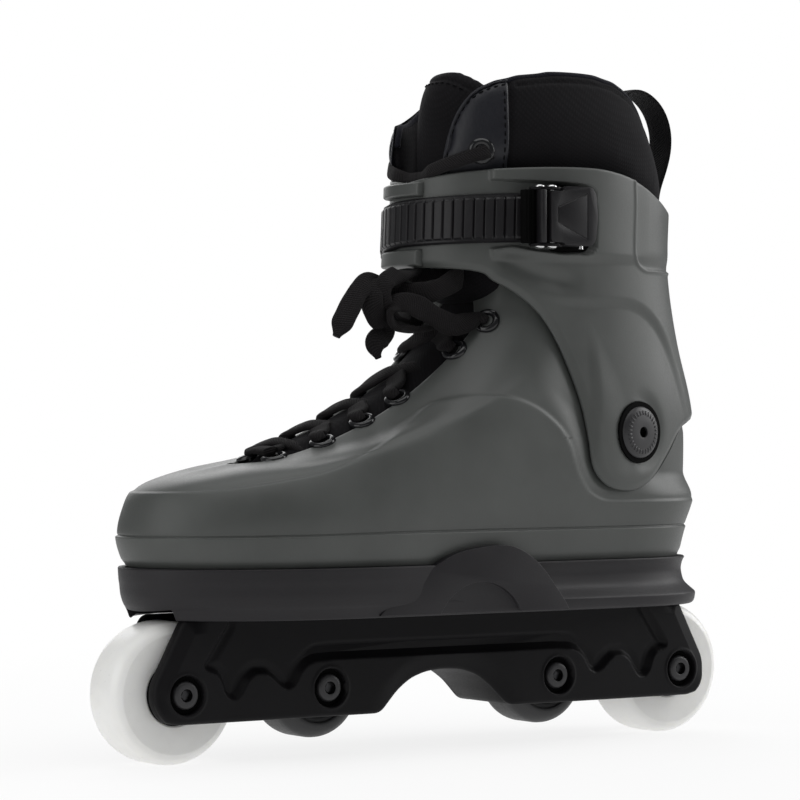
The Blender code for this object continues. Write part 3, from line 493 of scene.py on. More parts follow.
def noise(tree, coordinates, scale, detail):
    node = add_node(tree, "ShaderNodeTexNoise", Scale=scale, Detail=detail, Roughness=0.55)
    tree.links.new(coordinates, node.inputs["Vector"])
    return node.outputs["Fac"]


def ramp(tree, value, low, high, first, second):
    """Maps low..high of a value to two numbers."""
    node = add_node(tree, "ShaderNodeMapRange")
    for index, number in enumerate((low, high, first, second), start=1):
        node.inputs[index].default_value = number
    tree.links.new(value, node.inputs[0])
    return node.outputs[0]


def mix_colours(tree, share, first, second):
    node = tree.nodes.new("ShaderNodeMix")
    node.data_type = "RGBA"
    node.inputs[6].default_value = (*first, 1)
    node.inputs[7].default_value = (*second, 1)
    tree.links.new(share, node.inputs[0])
    return node.outputs[2]


def combine(tree, operation, first, second):
    node = add_node(tree, "ShaderNodeMath", operation=operation)
    for index, value in enumerate((first, second)):
        if isinstance(value, (int, float)):
            node.inputs[index].default_value = value
        else:
            tree.links.new(value, node.inputs[index])
    return node.outputs[0]


def object_spot(tree):
    return tree.nodes.new("ShaderNodeTexCoord").outputs["Object"]


def bump(tree, shader, height, distance, strength=1.0, after=None):
    node = add_node(tree, "ShaderNodeBump", Strength=strength, Distance=distance)
    tree.links.new(height, node.inputs["Height"])
    if after:
        tree.links.new(after, node.inputs["Normal"])
    tree.links.new(node.outputs[0], shader.inputs["Normal"])
    return node.outputs[0]


def moulded_plastic(name, colour, roughness, grain=0.00003, scale=1400, shine=0.42):
    """Moulded nylon: a fine matt grain, slow changes of gloss, and a little scuffing."""
    material, shader, tree = new_material(name, colour, roughness)
    spot = object_spot(tree)
    slow = noise(tree, spot, 28, 4)
    fine = noise(tree, spot, scale, 2)
    wear = 0.12
    lighter = tuple(c * (1 + wear) + 0.002 for c in colour)
    darker = tuple(c * (1 - wear) for c in colour)
    tree.links.new(mix_colours(tree, ramp(tree, slow, 0.3, 0.7, 0, 1), darker, lighter),
                   shader.inputs["Base Color"])
    gloss = combine(tree, "ADD", ramp(tree, slow, 0.3, 0.7, roughness - 0.05, roughness + 0.05),
                    ramp(tree, fine, 0.35, 0.65, -0.04, 0.04))
    tree.links.new(gloss, shader.inputs["Roughness"])
    bump(tree, shader, fine, grain)
    shader.inputs["Specular IOR Level"].default_value = shine
    return material


def urethane(name, colour, roughness, milky=0.08):
    material, shader, tree = new_material(name, colour, roughness)
    spot = object_spot(tree)
    slow = noise(tree, spot, 60, 5)
    scuffs = noise(tree, spot, 900, 3)
    dirtier = tuple(c * 0.93 for c in colour)
    tree.links.new(mix_colours(tree, ramp(tree, slow, 0.45, 0.75, 0, 1), colour, dirtier),
                   shader.inputs["Base Color"])
    tree.links.new(ramp(tree, scuffs, 0.3, 0.7, roughness - 0.05, roughness + 0.1),
                   shader.inputs["Roughness"])
    bump(tree, shader, scuffs, 0.00002)
    shader.inputs["Subsurface Weight"].default_value = milky
    shader.inputs["Subsurface Radius"].default_value = (0.005, 0.005, 0.0045)
    return material


def metal(name, colour, roughness):
    material, shader, tree = new_material(name, colour, roughness, 1.0)
    spot = object_spot(tree)
    fine = noise(tree, spot, 1200, 3)
    tree.links.new(ramp(tree, fine, 0.3, 0.7, roughness - 0.06, roughness + 0.08), shader.inputs["Roughness"])
    bump(tree, shader, fine, 0.000008)
    return material


def fabric_sheen(shader, specular, sheen, roughness):
    shader.inputs["Specular IOR Level"].default_value = specular
    shader.inputs["Sheen Weight"].default_value = sheen
    shader.inputs["Sheen Roughness"].default_value = roughness


def knit(name, colour, sheen, pitch=0.0011):
    """Knitted polyester over neoprene: fine crossing ribs, with a soft sheen."""
    material, shader, tree = new_material(name, colour, 0.85)
    spot = object_spot(tree)
    heights = []
    for turn in ((0, 0, 0.6), (0, 0.9, -0.4)):
        place = add_node(tree, "ShaderNodeMapping")
        place.inputs["Rotation"].default_value = turn
        tree.links.new(spot, place.inputs["Vector"])
        wave = add_node(tree, "ShaderNodeTexWave", Scale=0.314 / pitch, Distortion=0.6)
        wave.bands_direction = "DIAGONAL"
        tree.links.new(place.outputs[0], wave.inputs["Vector"])
        heights.append(wave.outputs["Fac"])
    weave = combine(tree, "MULTIPLY", heights[0], heights[1])
    slow = noise(tree, spot, 45, 4)
    share = combine(tree, "ADD", combine(tree, "MULTIPLY", weave, 0.6), ramp(tree, slow, 0.3, 0.7, 0, 0.4))
    tree.links.new(mix_colours(tree, share, tuple(c * 0.7 for c in colour), tuple(c * 1.35 for c in colour)),
                   shader.inputs["Base Color"])
    first = add_node(tree, "ShaderNodeBump", Strength=0.7, Distance=0.00012)
    tree.links.new(weave, first.inputs["Height"])
    bump(tree, shader, slow, 0.0006, 0.5, after=first.outputs[0])
    fabric_sheen(shader, 0.1, sheen, 0.5)
    shader.inputs["Sheen Tint"].default_value = (0.8, 0.8, 0.85, 1)
    return material


def woven(name, colour, rows, columns, height=0.00022):
    """A woven tape, read from its UV map: v runs along it once per metre, u runs across it from 0 to 1."""
    material, shader, tree = new_material(name, colour, 0.8)
    spot = tree.nodes.new("ShaderNodeTexCoord")
    split = tree.nodes.new("ShaderNodeSeparateXYZ")
    tree.links.new(spot.outputs["UV"], split.inputs[0])
    across = combine(tree, "MULTIPLY", split.outputs[0], columns)
    along = combine(tree, "MULTIPLY", split.outputs[1], rows)
    ribs = combine(tree, "SINE", combine(tree, "MULTIPLY", combine(tree, "ADD", along, across), math.tau), 0)
    yarns = combine(tree, "SINE", combine(tree, "MULTIPLY", across, math.tau * 3), 0)
    weave = combine(tree, "ADD", ramp(tree, ribs, -1, 1, 0, 0.75), ramp(tree, yarns, -1, 1, 0, 0.25))
    slow = noise(tree, spot.outputs["Object"], 120, 4)
    share = combine(tree, "MULTIPLY", weave, ramp(tree, slow, 0.3, 0.7, 0.75, 1.1))
    tree.links.new(mix_colours(tree, share, tuple(c * 0.45 for c in colour), tuple(c * 1.5 for c in colour)),
                   shader.inputs["Base Color"])
    bump(tree, shader, weave, height)
    fabric_sheen(shader, 0.12, 0.03, 0.45)
    return material


GREY = moulded_plastic("grey_nylon", (0.0595, 0.0632, 0.0598), 0.45)
BLACK = moulded_plastic("black_nylon", (0.0032, 0.0029, 0.0036), 0.5, shine=0.14)
PLATE_BLACK = moulded_plastic("plate_nylon", (0.0115, 0.0104, 0.0122), 0.5, shine=0.3)
STRAP_BLACK = moulded_plastic("strap_nylon", (0.0082, 0.0076, 0.0088), 0.4, shine=0.28)
GLOSS_BLACK = moulded_plastic("eyelet_lacquer", (0.008, 0.008, 0.009), 0.16, grain=0.000002)
WHITE_WHEEL = urethane("white_urethane", (0.93, 0.925, 0.9), 0.32, milky=0.3)
BLACK_WHEEL = urethane("black_urethane", (0.022, 0.022, 0.023), 0.42)
CAP_BLACK = moulded_plastic("cap_nylon", (0.020, 0.0195, 0.021), 0.4)
# Painted shadow: a near-black, barely shiny plastic put in gaps, slots and recesses to stand in for their
# shade.
PAINTED_SHADOW_BLACK = moulded_plastic("shadow_black", (0.0012, 0.0012, 0.0012), 0.8, shine=0.05)
STEEL = metal("ground_steel", (0.62, 0.62, 0.62), 0.24)
BLACK_STEEL = metal("black_oxide", (0.045, 0.045, 0.047), 0.32)
NEOPRENE = knit("neoprene_knit", (0.0060, 0.0055, 0.0064), sheen=0.02)
LINING = knit("lining", (0.0055, 0.0055, 0.0075), pitch=0.0018, sheen=0.05)
PIPING = knit("piping", (0.006, 0.006, 0.010), pitch=0.0008, sheen=0.1)
FACING = moulded_plastic("facing_vinyl", (0.0075, 0.0078, 0.0115), 0.46, grain=0.00006, scale=700, shine=0.32)
LACE = woven("lace_weave", (0.0105, 0.0094, 0.0100), rows=950, columns=13)
WEBBING = woven("webbing_weave", (0.0090, 0.0085, 0.0095), rows=700, columns=26, height=0.0003)
THREAD = knit("thread", (0.0022, 0.0022, 0.003), pitch=0.0005, sheen=0.0)
FOAM = knit("foam", (0.02, 0.02, 0.024), pitch=0.003, sheen=0.1)


# ---------------------------------------------------------------- boot shell

def boot_cage():
    near = np.array([[(x, y, SHELL_BOTTOM), *column] for (x, y), column in zip(SOLE, COLUMNS)], float)
    far = near[-2:0:-1] * (1, -1, 1)
    return np.concatenate([near, far]).transpose(1, 0, 2)


CAGE = boot_cage()
TOP_ROW, AROUND = CAGE.shape[0] - 1, CAGE.shape[1]
SHELF_LINE = smooth_line(SHELF, 180)


def above_shelf(place):
    """Distance above the shelf line, seen from the side."""
    points = place[..., [0, 2]]
    far = line_distance(points, SHELF_LINE)
    over = points[..., 1] > np.interp(points[..., 0], SHELF_LINE[:, 0], SHELF_LINE[:, 1])
    return np.where(over, far, -far)


def toe_bend(x):
    """How far the boot bends to the inner side in front of the ball of the foot."""
    return TOE_IN * (np.clip(x - 20, 0, None) / 120) ** 2


def boot_points(around, up, inset=0.0, detail=False, normals=False):
    """Points on the boot at pairs of (around, up), which are arrays of one shape."""
    shape = np.shape(around)
    a, b = np.ravel(around).astype(float), np.ravel(up).astype(float)

    def read(a, b):
        return np.einsum("nr,rcx,nc->nx", spline_weights(TOP_ROW + 1, b), CAGE,
                         spline_weights(AROUND, a, True))

    step = 0.01
    place = read(a, b)
    normal = unit(np.cross(read(a + step, b) - read(a - step, b), read(a, b + step) - read(a, b - step)))
    x, z = place[:, 0], place[:, 2]
    over = above_shelf(place)
    # The side is sunk behind the shelf line, deeper towards the heel.
    deep = SHELF_STEP + 3.3 * smooth_step(30, 58, -x) + 1.6 * smooth_step(88, 104, -x)
    if detail:
        sunk = SHELF_STEP * smooth_step(-0.4, 1.3, over) + (deep - SHELF_STEP) * smooth_step(0.4, 13, over)
        # The sole's edge stands out as a band with a fine groove above it.
        sunk = sunk - 0.75 * (1 - smooth_step(0.965, 1.03, b)) * smooth_step(0.02, 0.3, b)
        sunk = sunk + 0.35 * (np.exp(-(((b - 1.03) / 0.03) ** 2)))
    else:
        sunk = deep * smooth_step(0, 6, over)
    behind = np.clip((-62 - x) / 60, 0, 1)
    moved = place - normal * (inset + sunk)[:, None]
    moved[:, 0] += 0.12 * np.clip(z - PIVOT_Z, 0, None) * behind
    moved[:, 1] -= toe_bend(moved[:, 0])
    moved = moved.reshape(*shape, 3)
    return (moved, normal.reshape(*shape, 3)) if normals else moved


def throat_edge(up):
    """How far round from the front the throat's edge lies, by row."""
    rise = np.clip((up - THROAT_ROW) / THROAT_ROUND, 0, 1)
    closing = np.interp(up, (6.9, 7.15, 7.4, RIM_ROW, 8.4), (1.12, 0.98, 0.74, 0.42, 0.3))
    return closing * np.sqrt(1 - (1 - rise) ** 2)


def make_shell():
    rows = np.concatenate([np.linspace(0, 0.94, 12), np.linspace(0.95, 1.06, 9),
                           np.linspace(1.08, THROAT_ROW, 92),
                           THROAT_ROW + THROAT_ROUND * (1 - np.cos(np.linspace(0.12, math.pi / 2, 12))),
                           np.linspace(THROAT_ROW + 0.19, RIM_ROW, 84)])
    columns = 560
    share = np.linspace(0, 1, columns)
    edge = throat_edge(rows)[:, None]
    around = edge + share[None, :] * (AROUND - 2 * edge)
    up = np.repeat(rows[:, None], columns, axis=1)
    # The rim drops behind the ankle.
    back = np.abs(around - AROUND / 2)
    front = 1 - smooth_step(0, 1.3, np.abs(back - AROUND / 2))
    top = RIM_ROW - 1.35 * (1 - smooth_step(2.2, 4.6, back)) - 0.5 * front
    over = THROAT_ROW + 1.2
    up = np.where(up > over, over + (up - over) * (top - over) / (RIM_ROW - over), up)
    outer, normal = boot_points(around, up, detail=True, normals=True)
    count = len(rows)
    first = int(np.searchsorted(rows, THROAT_ROW + 0.001))
    # The boundary runs up the near edge of the throat, round the rim, and down its far edge.
    loop = [(r, 0) for r in range(first, count)] + [(count - 1, c) for c in range(1, columns - 1)]
    loop += [(r, columns - 1) for r in range(count - 1, first - 1, -1)]
    r, c = np.array(loop).T
    edge_points, edge_normals = outer[r, c], normal[r, c]
    outward = np.cross(unit(np.gradient(edge_points, axis=0)), edge_normals)
    inner_spot = outer[np.clip(r - 3, first, None), np.clip(c, 3, columns - 4)]
    outward *= np.sign(((edge_points - inner_spot) * outward).sum(1))[:, None]
    # The edge is rolled half round and then runs back inside the shell.
    rings = [edge_points]
    radius = SHELL_WALL / 2
    for turn in np.linspace(0, math.pi, 9)[1:]:
        rings.append(edge_points + outward * radius * math.sin(turn)
                     - edge_normals * radius * (1 - math.cos(turn)))
    for reach in (2, 5, 10):
        rings.append(edge_points - outward * reach - edge_normals * (SHELL_WALL + 0.035 * reach**2))
    lip = np.array(rings)
    verts = np.concatenate([outer.reshape(-1, 3), lip.reshape(-1, 3)])
    faces = np.concatenate([grid_faces(count, columns),
                            grid_faces(len(lip), len(loop), start=outer.size // 3)])
    add_mesh("shell_skin", verts, faces, GREY, "boot", ["boot_shell"], merge=0.01)


def eyelet_seats():
    """(place, outward normal) of each eyelet, toe to ankle, outer side then inner side."""
    around, up = np.meshgrid(np.linspace(0.9, 7, 180), np.linspace(3.6, TOP_ROW, 180))
    places, normals = boot_points(around, up, detail=True, normals=True)
    seats = []
    for x, z in EYELETS:
        row, column = np.unravel_index(((places[..., 0] - x) ** 2 + (places[..., 2] - z) ** 2).argmin(),
                                       up.shape)
        place, normal = places[row, column], normals[row, column]
        bend = toe_bend(place[0])
        mirrored = np.array([place[0], -(place[1] + bend) - bend, place[2]])
        seats.append((Vector(place), Vector(normal)))
        seats.append((Vector(mirrored), Vector((normal[0], -normal[1], normal[2]))))
    return seats


def make_eyelets(seats):
    profile = [(2.8, -3.4), (2.7, -0.4), (2.85, 0.6), (3.3, 1.2), (4.1, 1.5), (4.9, 1.25), (5.5, 0.7),
               (5.75, -0.4)]
    for index, (place, normal) in enumerate(seats):
        side = "outer" if index % 2 == 0 else "inner"
        turned_line(f"eyelet_{side}_{index // 2 + 1}", smooth_line(profile, 26), place, GLOSS_BLACK, "boot",
                    steps=40, along=normal)


# ---------------------------------------------------------------- cuff

RING_LINE = smooth_line(CUFF_RINGS, 600)


def cuff_points(angle, z, out):
    """Points on the cuff at an angle from the front in degrees, moved outwards. All three may be arrays."""
    angle, z, out = np.broadcast_arrays(np.asarray(angle, float), z, out)
    front, back, half = (np.interp(z, RING_LINE[:, 0], RING_LINE[:, k]) for k in (1, 2, 3))
    centre, reach = (front + back) / 2, (front - back) / 2
    c, s = np.cos(np.radians(angle)), np.sin(np.radians(angle))
    power = 2 / ROUNDNESS
    x = np.sign(c) * np.abs(c) ** power
    y = np.sign(s) * np.abs(s) ** power
    slope = unit(np.stack([x / reach * np.abs(x) ** 0.2, y / half * np.abs(y) ** 0.2, 0 * x], axis=-1))
    return np.stack([centre + reach * x, half * y, z], axis=-1) + slope * out[..., None]


def soft_edge(table, angle):
    """Reads a table of (angle, z), the same on both sides of the ankle, as a smooth line."""
    line = even_line(smooth_line(table, 600), 600)
    return np.interp(np.abs(signed_angle(angle)), line[:, 0], line[:, 1])


# Styling lines from the side, (x, z): the long crease, the pocket behind the lever, the hollow under it.
SWOOSH = [(20, 207), (-8, 207), (-20, 201), (-31.6, 194), (-52, 191), (-72, 191.3), (-86, 189.6), (-100, 182),
          (-111, 169), (-118, 155), (-124, 138), (-130, 110)]
POCKET = [(-6, 240.6), (-30, 239.8), (-54.5, 239.2), (-58.2, 237), (-59.4, 224), (-58.8, 212.8),
          (-55.6, 209.8), (-42, 209.6), (-30, 210.6), (-21, 212.2), (-6, 209.8)]
SCOOP = [(-15, 207.5), (-24, 203.5), (-36, 199), (-52, 196.5)]


def edge_distance(angle, z):
    """Distance from the cuff's lower edge, measured over its face."""
    along = np.linspace(*CUFF_ENDS, 240)
    line = np.stack([along * CUFF_DEGREE, soft_edge(CUFF_LOW, along)], axis=-1)
    return line_distance(np.stack([angle * CUFF_DEGREE, z], axis=-1), line)


def cuff_relief(angle, place):
    """How far the cuff's outer face stands out, from its styling lines."""
    x, y, z = place[..., 0], place[..., 1], place[..., 2]
    side = np.stack([x, z], axis=-1)
    out = np.zeros(x.shape)
    # The flank below the long curved crease is sunk.
    line = smooth_line(SWOOSH, 90)
    far = line_distance(side, line)
    flank = np.concatenate([line, [(-130, 60), (60, 60), (60, 207)]])
    sunk = smooth_step(-1.0, 4.5, np.where(inside(side, flank), far, -far))
    out -= 1.5 * sunk * smooth_step(26, 50, -x) * smooth_step(-128, -112, x)
    # Hoods over and under the buckle, round a pocket that the lever lies in.
    near = np.where(y > 0, 1.0, 0.25)
    pocket = smooth_step(-0.5, 0.9, depth_inside(side, soft_corners(POCKET, 1.6)))
    hood = smooth_step(11.8, 14.2, -x) * (1 - 0.85 * smooth_step(58, 96, -x)) * smooth_step(205.5, 210.5, z)
    out += near * 2.5 * hood * (1 - pocket)
    out -= near * 1.9 * pocket * smooth_step(36, 42, -x)
    # A scooped hollow under the lower hood.
    scoop = line_distance(side, smooth_line(SCOOP, 40))
    out -= (near * 2.0 * np.exp(-((scoop / 4.2) ** 2)) * smooth_step(12, 19, -x)
            * (1 - smooth_step(40, 56, -x)))
    # The panel at the back, bounded by a fine raised line.
    folded = np.abs(np.abs(signed_angle(angle)) - 180)
    corner = np.maximum(np.stack([folded * 0.86 - 51.5, 212.5 - z], axis=-1), 0)
    panel = 8 - np.linalg.norm(corner, axis=-1)
    out -= 0.5 * smooth_step(-0.4, 0.4, panel) * (1 - smooth_step(0.4, 9, panel))
    out += 0.45 * np.exp(-(((panel + 0.7) / 0.7) ** 2))
    # A rounded bead along the lower edge.
    edge = edge_distance(angle, z)
    out -= 0.7 * np.clip(1 - edge / 2.6, 0, 1) ** 2
    out += (0.9 * smooth_step(88, 92, angle) * (1 - smooth_step(112, 122, angle))
            * (1 - smooth_step(4, 14, edge)))
    # The bolt's seat.
    bolt = np.hypot((x - PIVOT_X) / math.cos(math.radians(12)), z - PIVOT_Z)
    out -= 1.2 * np.exp(-(((bolt - 14.0) / 3.2) ** 2)) * smooth_step(-4, 8, PIVOT_X - x)
    out -= 3.0 * smooth_step(-13.0, -12.5, -bolt)
    return out


def make_cuff():
    columns = 620
    share = np.linspace(0, 1, columns)
    angles = CUFF_ENDS[0] + (CUFF_ENDS[1] - CUFF_ENDS[0]) * share
    low, high = soft_edge(CUFF_LOW, angles), soft_edge(CUFF_HIGH, angles)
    # The flaps' ends are rounded where they meet the top and bottom edges.
    for end in (0, columns - 1):
        near_end = np.abs(angles - angles[end]) * 0.95
        drop = 5 * (1 - quarter_round(near_end / 5))
        low, high = low + drop, high - drop
    rows = 230
    rise = np.linspace(0, 1, rows)[:, None]
    z = low * (1 - rise) + high * rise
    around = np.repeat(angles[None], rows, axis=0)
    base = cuff_points(around, z, 0.0)
    outer = cuff_points(around, z, cuff_relief(around, base))
    loop = [(0, c) for c in range(columns)] + [(r, columns - 1) for r in range(1, rows)]
    loop += [(rows - 1, c) for c in range(columns - 2, -1, -1)] + [(r, 0) for r in range(rows - 2, 0, -1)]
    r, c = np.array(loop).T
    slope = cuff_points(around, z, 1.0) - base
    points, normals = outer[r, c], slope[r, c]
    outward = unit(np.cross(unit(np.roll(points, -1, axis=0) - np.roll(points, 1, axis=0)), normals))
    # The edge is rounded on both faces and then runs back inside the cuff.
    radius = 1.1
    depth = np.linalg.norm(points - cuff_points(around, z, -CUFF_WALL)[r, c], axis=1)[:, None]
    rings = [points]
    for turn in np.linspace(0, math.pi / 2, 5)[1:]:
        rings.append(points + outward * radius * math.sin(turn) - normals * radius * (1 - math.cos(turn)))
    for turn in np.linspace(0, math.pi / 2, 5):
        rings.append(points + outward * radius * math.cos(turn)
                     - normals * (depth - radius * (1 - math.sin(turn))))
    for reach in (2.5, 6, 10):
        rings.append(points - outward * reach - normals * (depth + 0.02 * reach**2))
    lip = np.array(rings)
    verts = np.concatenate([outer.reshape(-1, 3), lip.reshape(-1, 3)])
    faces = np.concatenate([grid_faces(rows, columns),
                            grid_faces(len(lip), len(loop), wrap=True, start=outer.size // 3)])
    add_mesh("cuff_skin", verts, faces, GREY, "cuff_flap", ["cuff"], merge=0.01)
    make_strap_guides()


def make_strap_guides():
    """Two small ribs that keep the strap in place on the front of the cuff."""
    first, last, height = -22, 13.5, 3.4
    for name, low, high in (("upper", 233.6, 240.2), ("lower", 203.9, 211.6)):
        a, rise = np.meshgrid(np.linspace(first, last, 48), np.linspace(0, 1, 26))
        z = low + (high - low) * rise
        ends = np.minimum((a - first) * 0.9, (last - a) * 0.9)
        edge = np.minimum(np.minimum(ends, z - low), high - z)
        points = cuff_points(a, z, height * quarter_round(edge / 1.3) - 0.4)
        add_mesh(f"strap_guide_{name}", points, grid_faces(*a.shape), GREY, "cuff_flap")


def pivot_frame(side):
    across = Vector((-math.sin(PIVOT_TILT), side * math.cos(PIVOT_TILT), 0))
    return Vector((PIVOT_X, side * PIVOT_HALF_W, PIVOT_Z)) - across * PIVOT_HALF_W, across


TICKS = 30


def hex_socket(name, radius, low, high, place, material, body, **settings):
    """The six-sided recess in a bolt's head, from its floor to its rim."""
    line = [(0.01, low), (radius, low), (radius, high)]
    lathe(name, line, place, material, body, steps=6, closed=False, sharp=20, **settings)


def make_cuff_bolts():
    for side, word in ((1, "outer"), (-1, "inner")):
        origin, across = pivot_frame(side)
        profile = [(2.4, 44.9), (2.4, 45.6), (3.0, 45.8), (5.2, 45.75), (7.6, 45.5), (9.4, 45.1),
                   (10.6, 44.4), (11.2, 43.4), (11.2, 41.5)]
        turned_line(f"cuff_cap_{word}", smooth_line(profile, 40), origin, CAP_BLACK, "boot", steps=72,
                    along=across, replaces=[f"cuff_bolt_{word}"])
        # Painted shadow: a black ring in the gap round the cap and a black hex socket stand in for the shade
        # in them.
        gap = [(10.0, 41.0), (10.0, 43.6), (13.2, 43.6), (13.2, 41.0)]
        lathe(f"cuff_shadow_ring_{word}", gap, origin, PAINTED_SHADOW_BLACK, "boot", steps=72, along=across, sharp=30)
        hex_socket(f"cuff_socket_{word}", 2.4, 43.4, 45.0, origin, PAINTED_SHADOW_BLACK, "boot", along=across)
        up = Vector((0, 0, 1))
        flat = across.cross(up)
        pips = bmesh.new()
        for tick in range(TICKS):
            turn = math.tau * tick / TICKS
            spoke = up * math.cos(turn) + flat * math.sin(turn)
            mark = bar(origin + across * 45.35 + spoke * 7.4, origin + across * 45.0 + spoke * 9.3, 0.5, 10)
            helper = bpy.data.meshes.new("mark")
            mark.to_mesh(helper)
            pips.from_mesh(helper)
        settle(bare(f"cap_pips_{word}", pips), CAP_BLACK, "boot")


# ---------------------------------------------------------------- soul plate

def sole_outline():
    """The sole's outline from the toe all the way round, and its normals outwards."""
    count = 440
    around = np.linspace(0, AROUND, count, endpoint=False)
    points = boot_points(around, np.zeros(count))[:, :2]
    along = np.roll(points, -1, axis=0) - np.roll(points, 1, axis=0)
    normal = unit(np.stack([along[:, 1], -along[:, 0]], axis=-1))
    return points, normal * np.sign((normal * points).sum())


def make_soul_plate():
    points, normal = sole_outline()
    toe = smooth_step(-60, 60, points[:, 0])
    # (height, how far the plate stands out at the toe, the same at the heel)
    profile = [(PLATE_BOTTOM, -5.4, 1.2), (PLATE_BOTTOM, -4.2, 2.8), (59.0, -2.6, 4.2), (58.6, -1.9, 5.6),
               (59.0, -1.3, 6.8), (60.4, -0.8, 7.7), (62.8, 0.2, 8.1), (64.0, 0.9, 7.7), (65.4, 1.5, 6.1),
               (67.0, 2.0, 4.3), (69, 2.4, 2.8), (72, 2.7, 2.0),
               (74.2, 3.0, 1.8), (76.8, 3.2, 2.3), (78.6, 3.3, 3.1), (79.1, 3.2, 3.2), (79.4, 2.9, 2.9),
               (79.5, 2.2, 2.2), (79.5, -2.0, -2.0)]
    levels = smooth_line(profile, 90)
    grid = []
    for z, at_toe, at_heel in levels:
        spread = at_heel + (at_toe - at_heel) * toe
        ring = points + normal * spread[:, None]
        grid.append(np.concatenate([ring, np.full((len(ring), 1), z)], axis=1))
    grid = np.array(grid)
    helper = bpy.data.meshes.new("plate_body")
    faces = tube_faces(*grid.shape[:2])
    helper.from_pydata(grid.reshape(-1, 3).tolist(), [], [list(map(int, face)) for face in faces])
    shape = bmesh.new()
    shape.from_mesh(helper)
    # The big wheels run in two hollows under the plate.
    cuts = [bar((x, -15.5, AXLE_Z), (x, 15.5, AXLE_Z), WHEEL_R[0] + 5.4, 96) for x in (AXLE_X[0], AXLE_X[-1])]
    plate = carve("plate_skin", shape, cuts=cuts, bevel=0.35)
    settle(plate, PLATE_BLACK, "boot", ["soul_plate"], sharp=40)
    for side, word in ((1, "outer"), (-1, "inner")):
        outline = smooth_line([(50, 59.4), (45, 64.4), (37, 70.5), (21, 81), (8, 85.5), (-8, 87.2),
                               (-18.5, 85.2), (-28, 79.2), (-35.5, 71), (-41, 64), (-44, 59.4)], 60)
        low, high = sorted((side * 42.0, side * 47.6))
        arch = arc((1.4, 49.7), 22.4, -5, 185, 49)
        hump = carve(f"hump_{word}", prism([tuple(p) for p in outline], low, high),
                     cuts=[prism(arch, *sorted((side * 45.6, side * 60)))], bevel=0.6, segments=3)
        for vert in hump.data.vertices:
            sunk = 3.0 * smooth_step(12, 44, vert.co.x / MM) * smooth_step(43, 44.5, abs(vert.co.y) / MM)
            vert.co.y -= math.copysign(sunk * MM, vert.co.y)
        settle(hump, PLATE_BLACK, "boot", sharp=40)


# ---------------------------------------------------------------- frame

def frame_outline():
    """The frame from the side, (x, z), symmetrical about its middle."""
    half = [*arc((AXLE_X[0], 29.5), 14.2, 28, -52, 19), (131, FRAME_BOTTOM), (33, FRAME_BOTTOM), (23.5, 26.5)]
    half += [(17, 31), (9, 33.6)]
    other = [(-x, z) for x, z in reversed(half)]
    return [*half, (0, 34.2), *other, (-126.5, FRAME_TOP), (126.5, FRAME_TOP)]


def frame_pocket():
    """The long pocket in the frame's side, (x, z)."""
    half = [(107.5, 70), (108, 57), (118.9, 41.2), (118.7, 39.4), (116.5, 38.2), (112.7, 37.0), (110.8, 34.4),
            (109, 29.2), (106.5, 26.5), (103.2, 26.3), (100.6, 28.9), (97.6, 34.0), (94.2, 36.4),
            (89.2, 36.2), (86, 34.0), (82.7, 30.8), (79, 29.2), (75.6, 30.8), (72.3, 36.4), (69.4, 39.0),
            (66, 40.2), (57, 40.7)]
    return half + [(-x, z) for x, z in reversed(half)]


def make_frame():
    outline = rounded(frame_outline(), 3.2, 5)
    cuts = []
    for end in (1, -1):
        low, high = sorted((end * 100.0, end * 160.0))
        cuts.append(block((low, -FRAME_SLOT_HALF_W, 5), (high, FRAME_SLOT_HALF_W, 70)))
        low, high = sorted((end * 34.5, end * 101.0))
        cuts.append(block((low, -FRAME_SLOT_HALF_W, 5), (high, FRAME_SLOT_HALF_W, DECK_BOTTOM)))
    for x in AXLE_X:
        cuts.append(bar((x, -30, AXLE_Z), (x, 30, AXLE_Z), 4.3, 32))
        for side in (1, -1):
            seat = FRAME_HALF_W - COUNTERBORE_DEPTH
            cuts.append(bar((x, side * seat, AXLE_Z), (x, side * 30, AXLE_Z), COUNTERBORE_R, 64))
    core = carve("frame_core", prism(outline, -17.6, 17.6), cuts=cuts, bevel=0.5)
    settle(core, BLACK, "boot", ["frame"], sharp=40)
    for side, word in ((1, "outer"), (-1, "inner")):
        make_frame_side(side, word, outline)


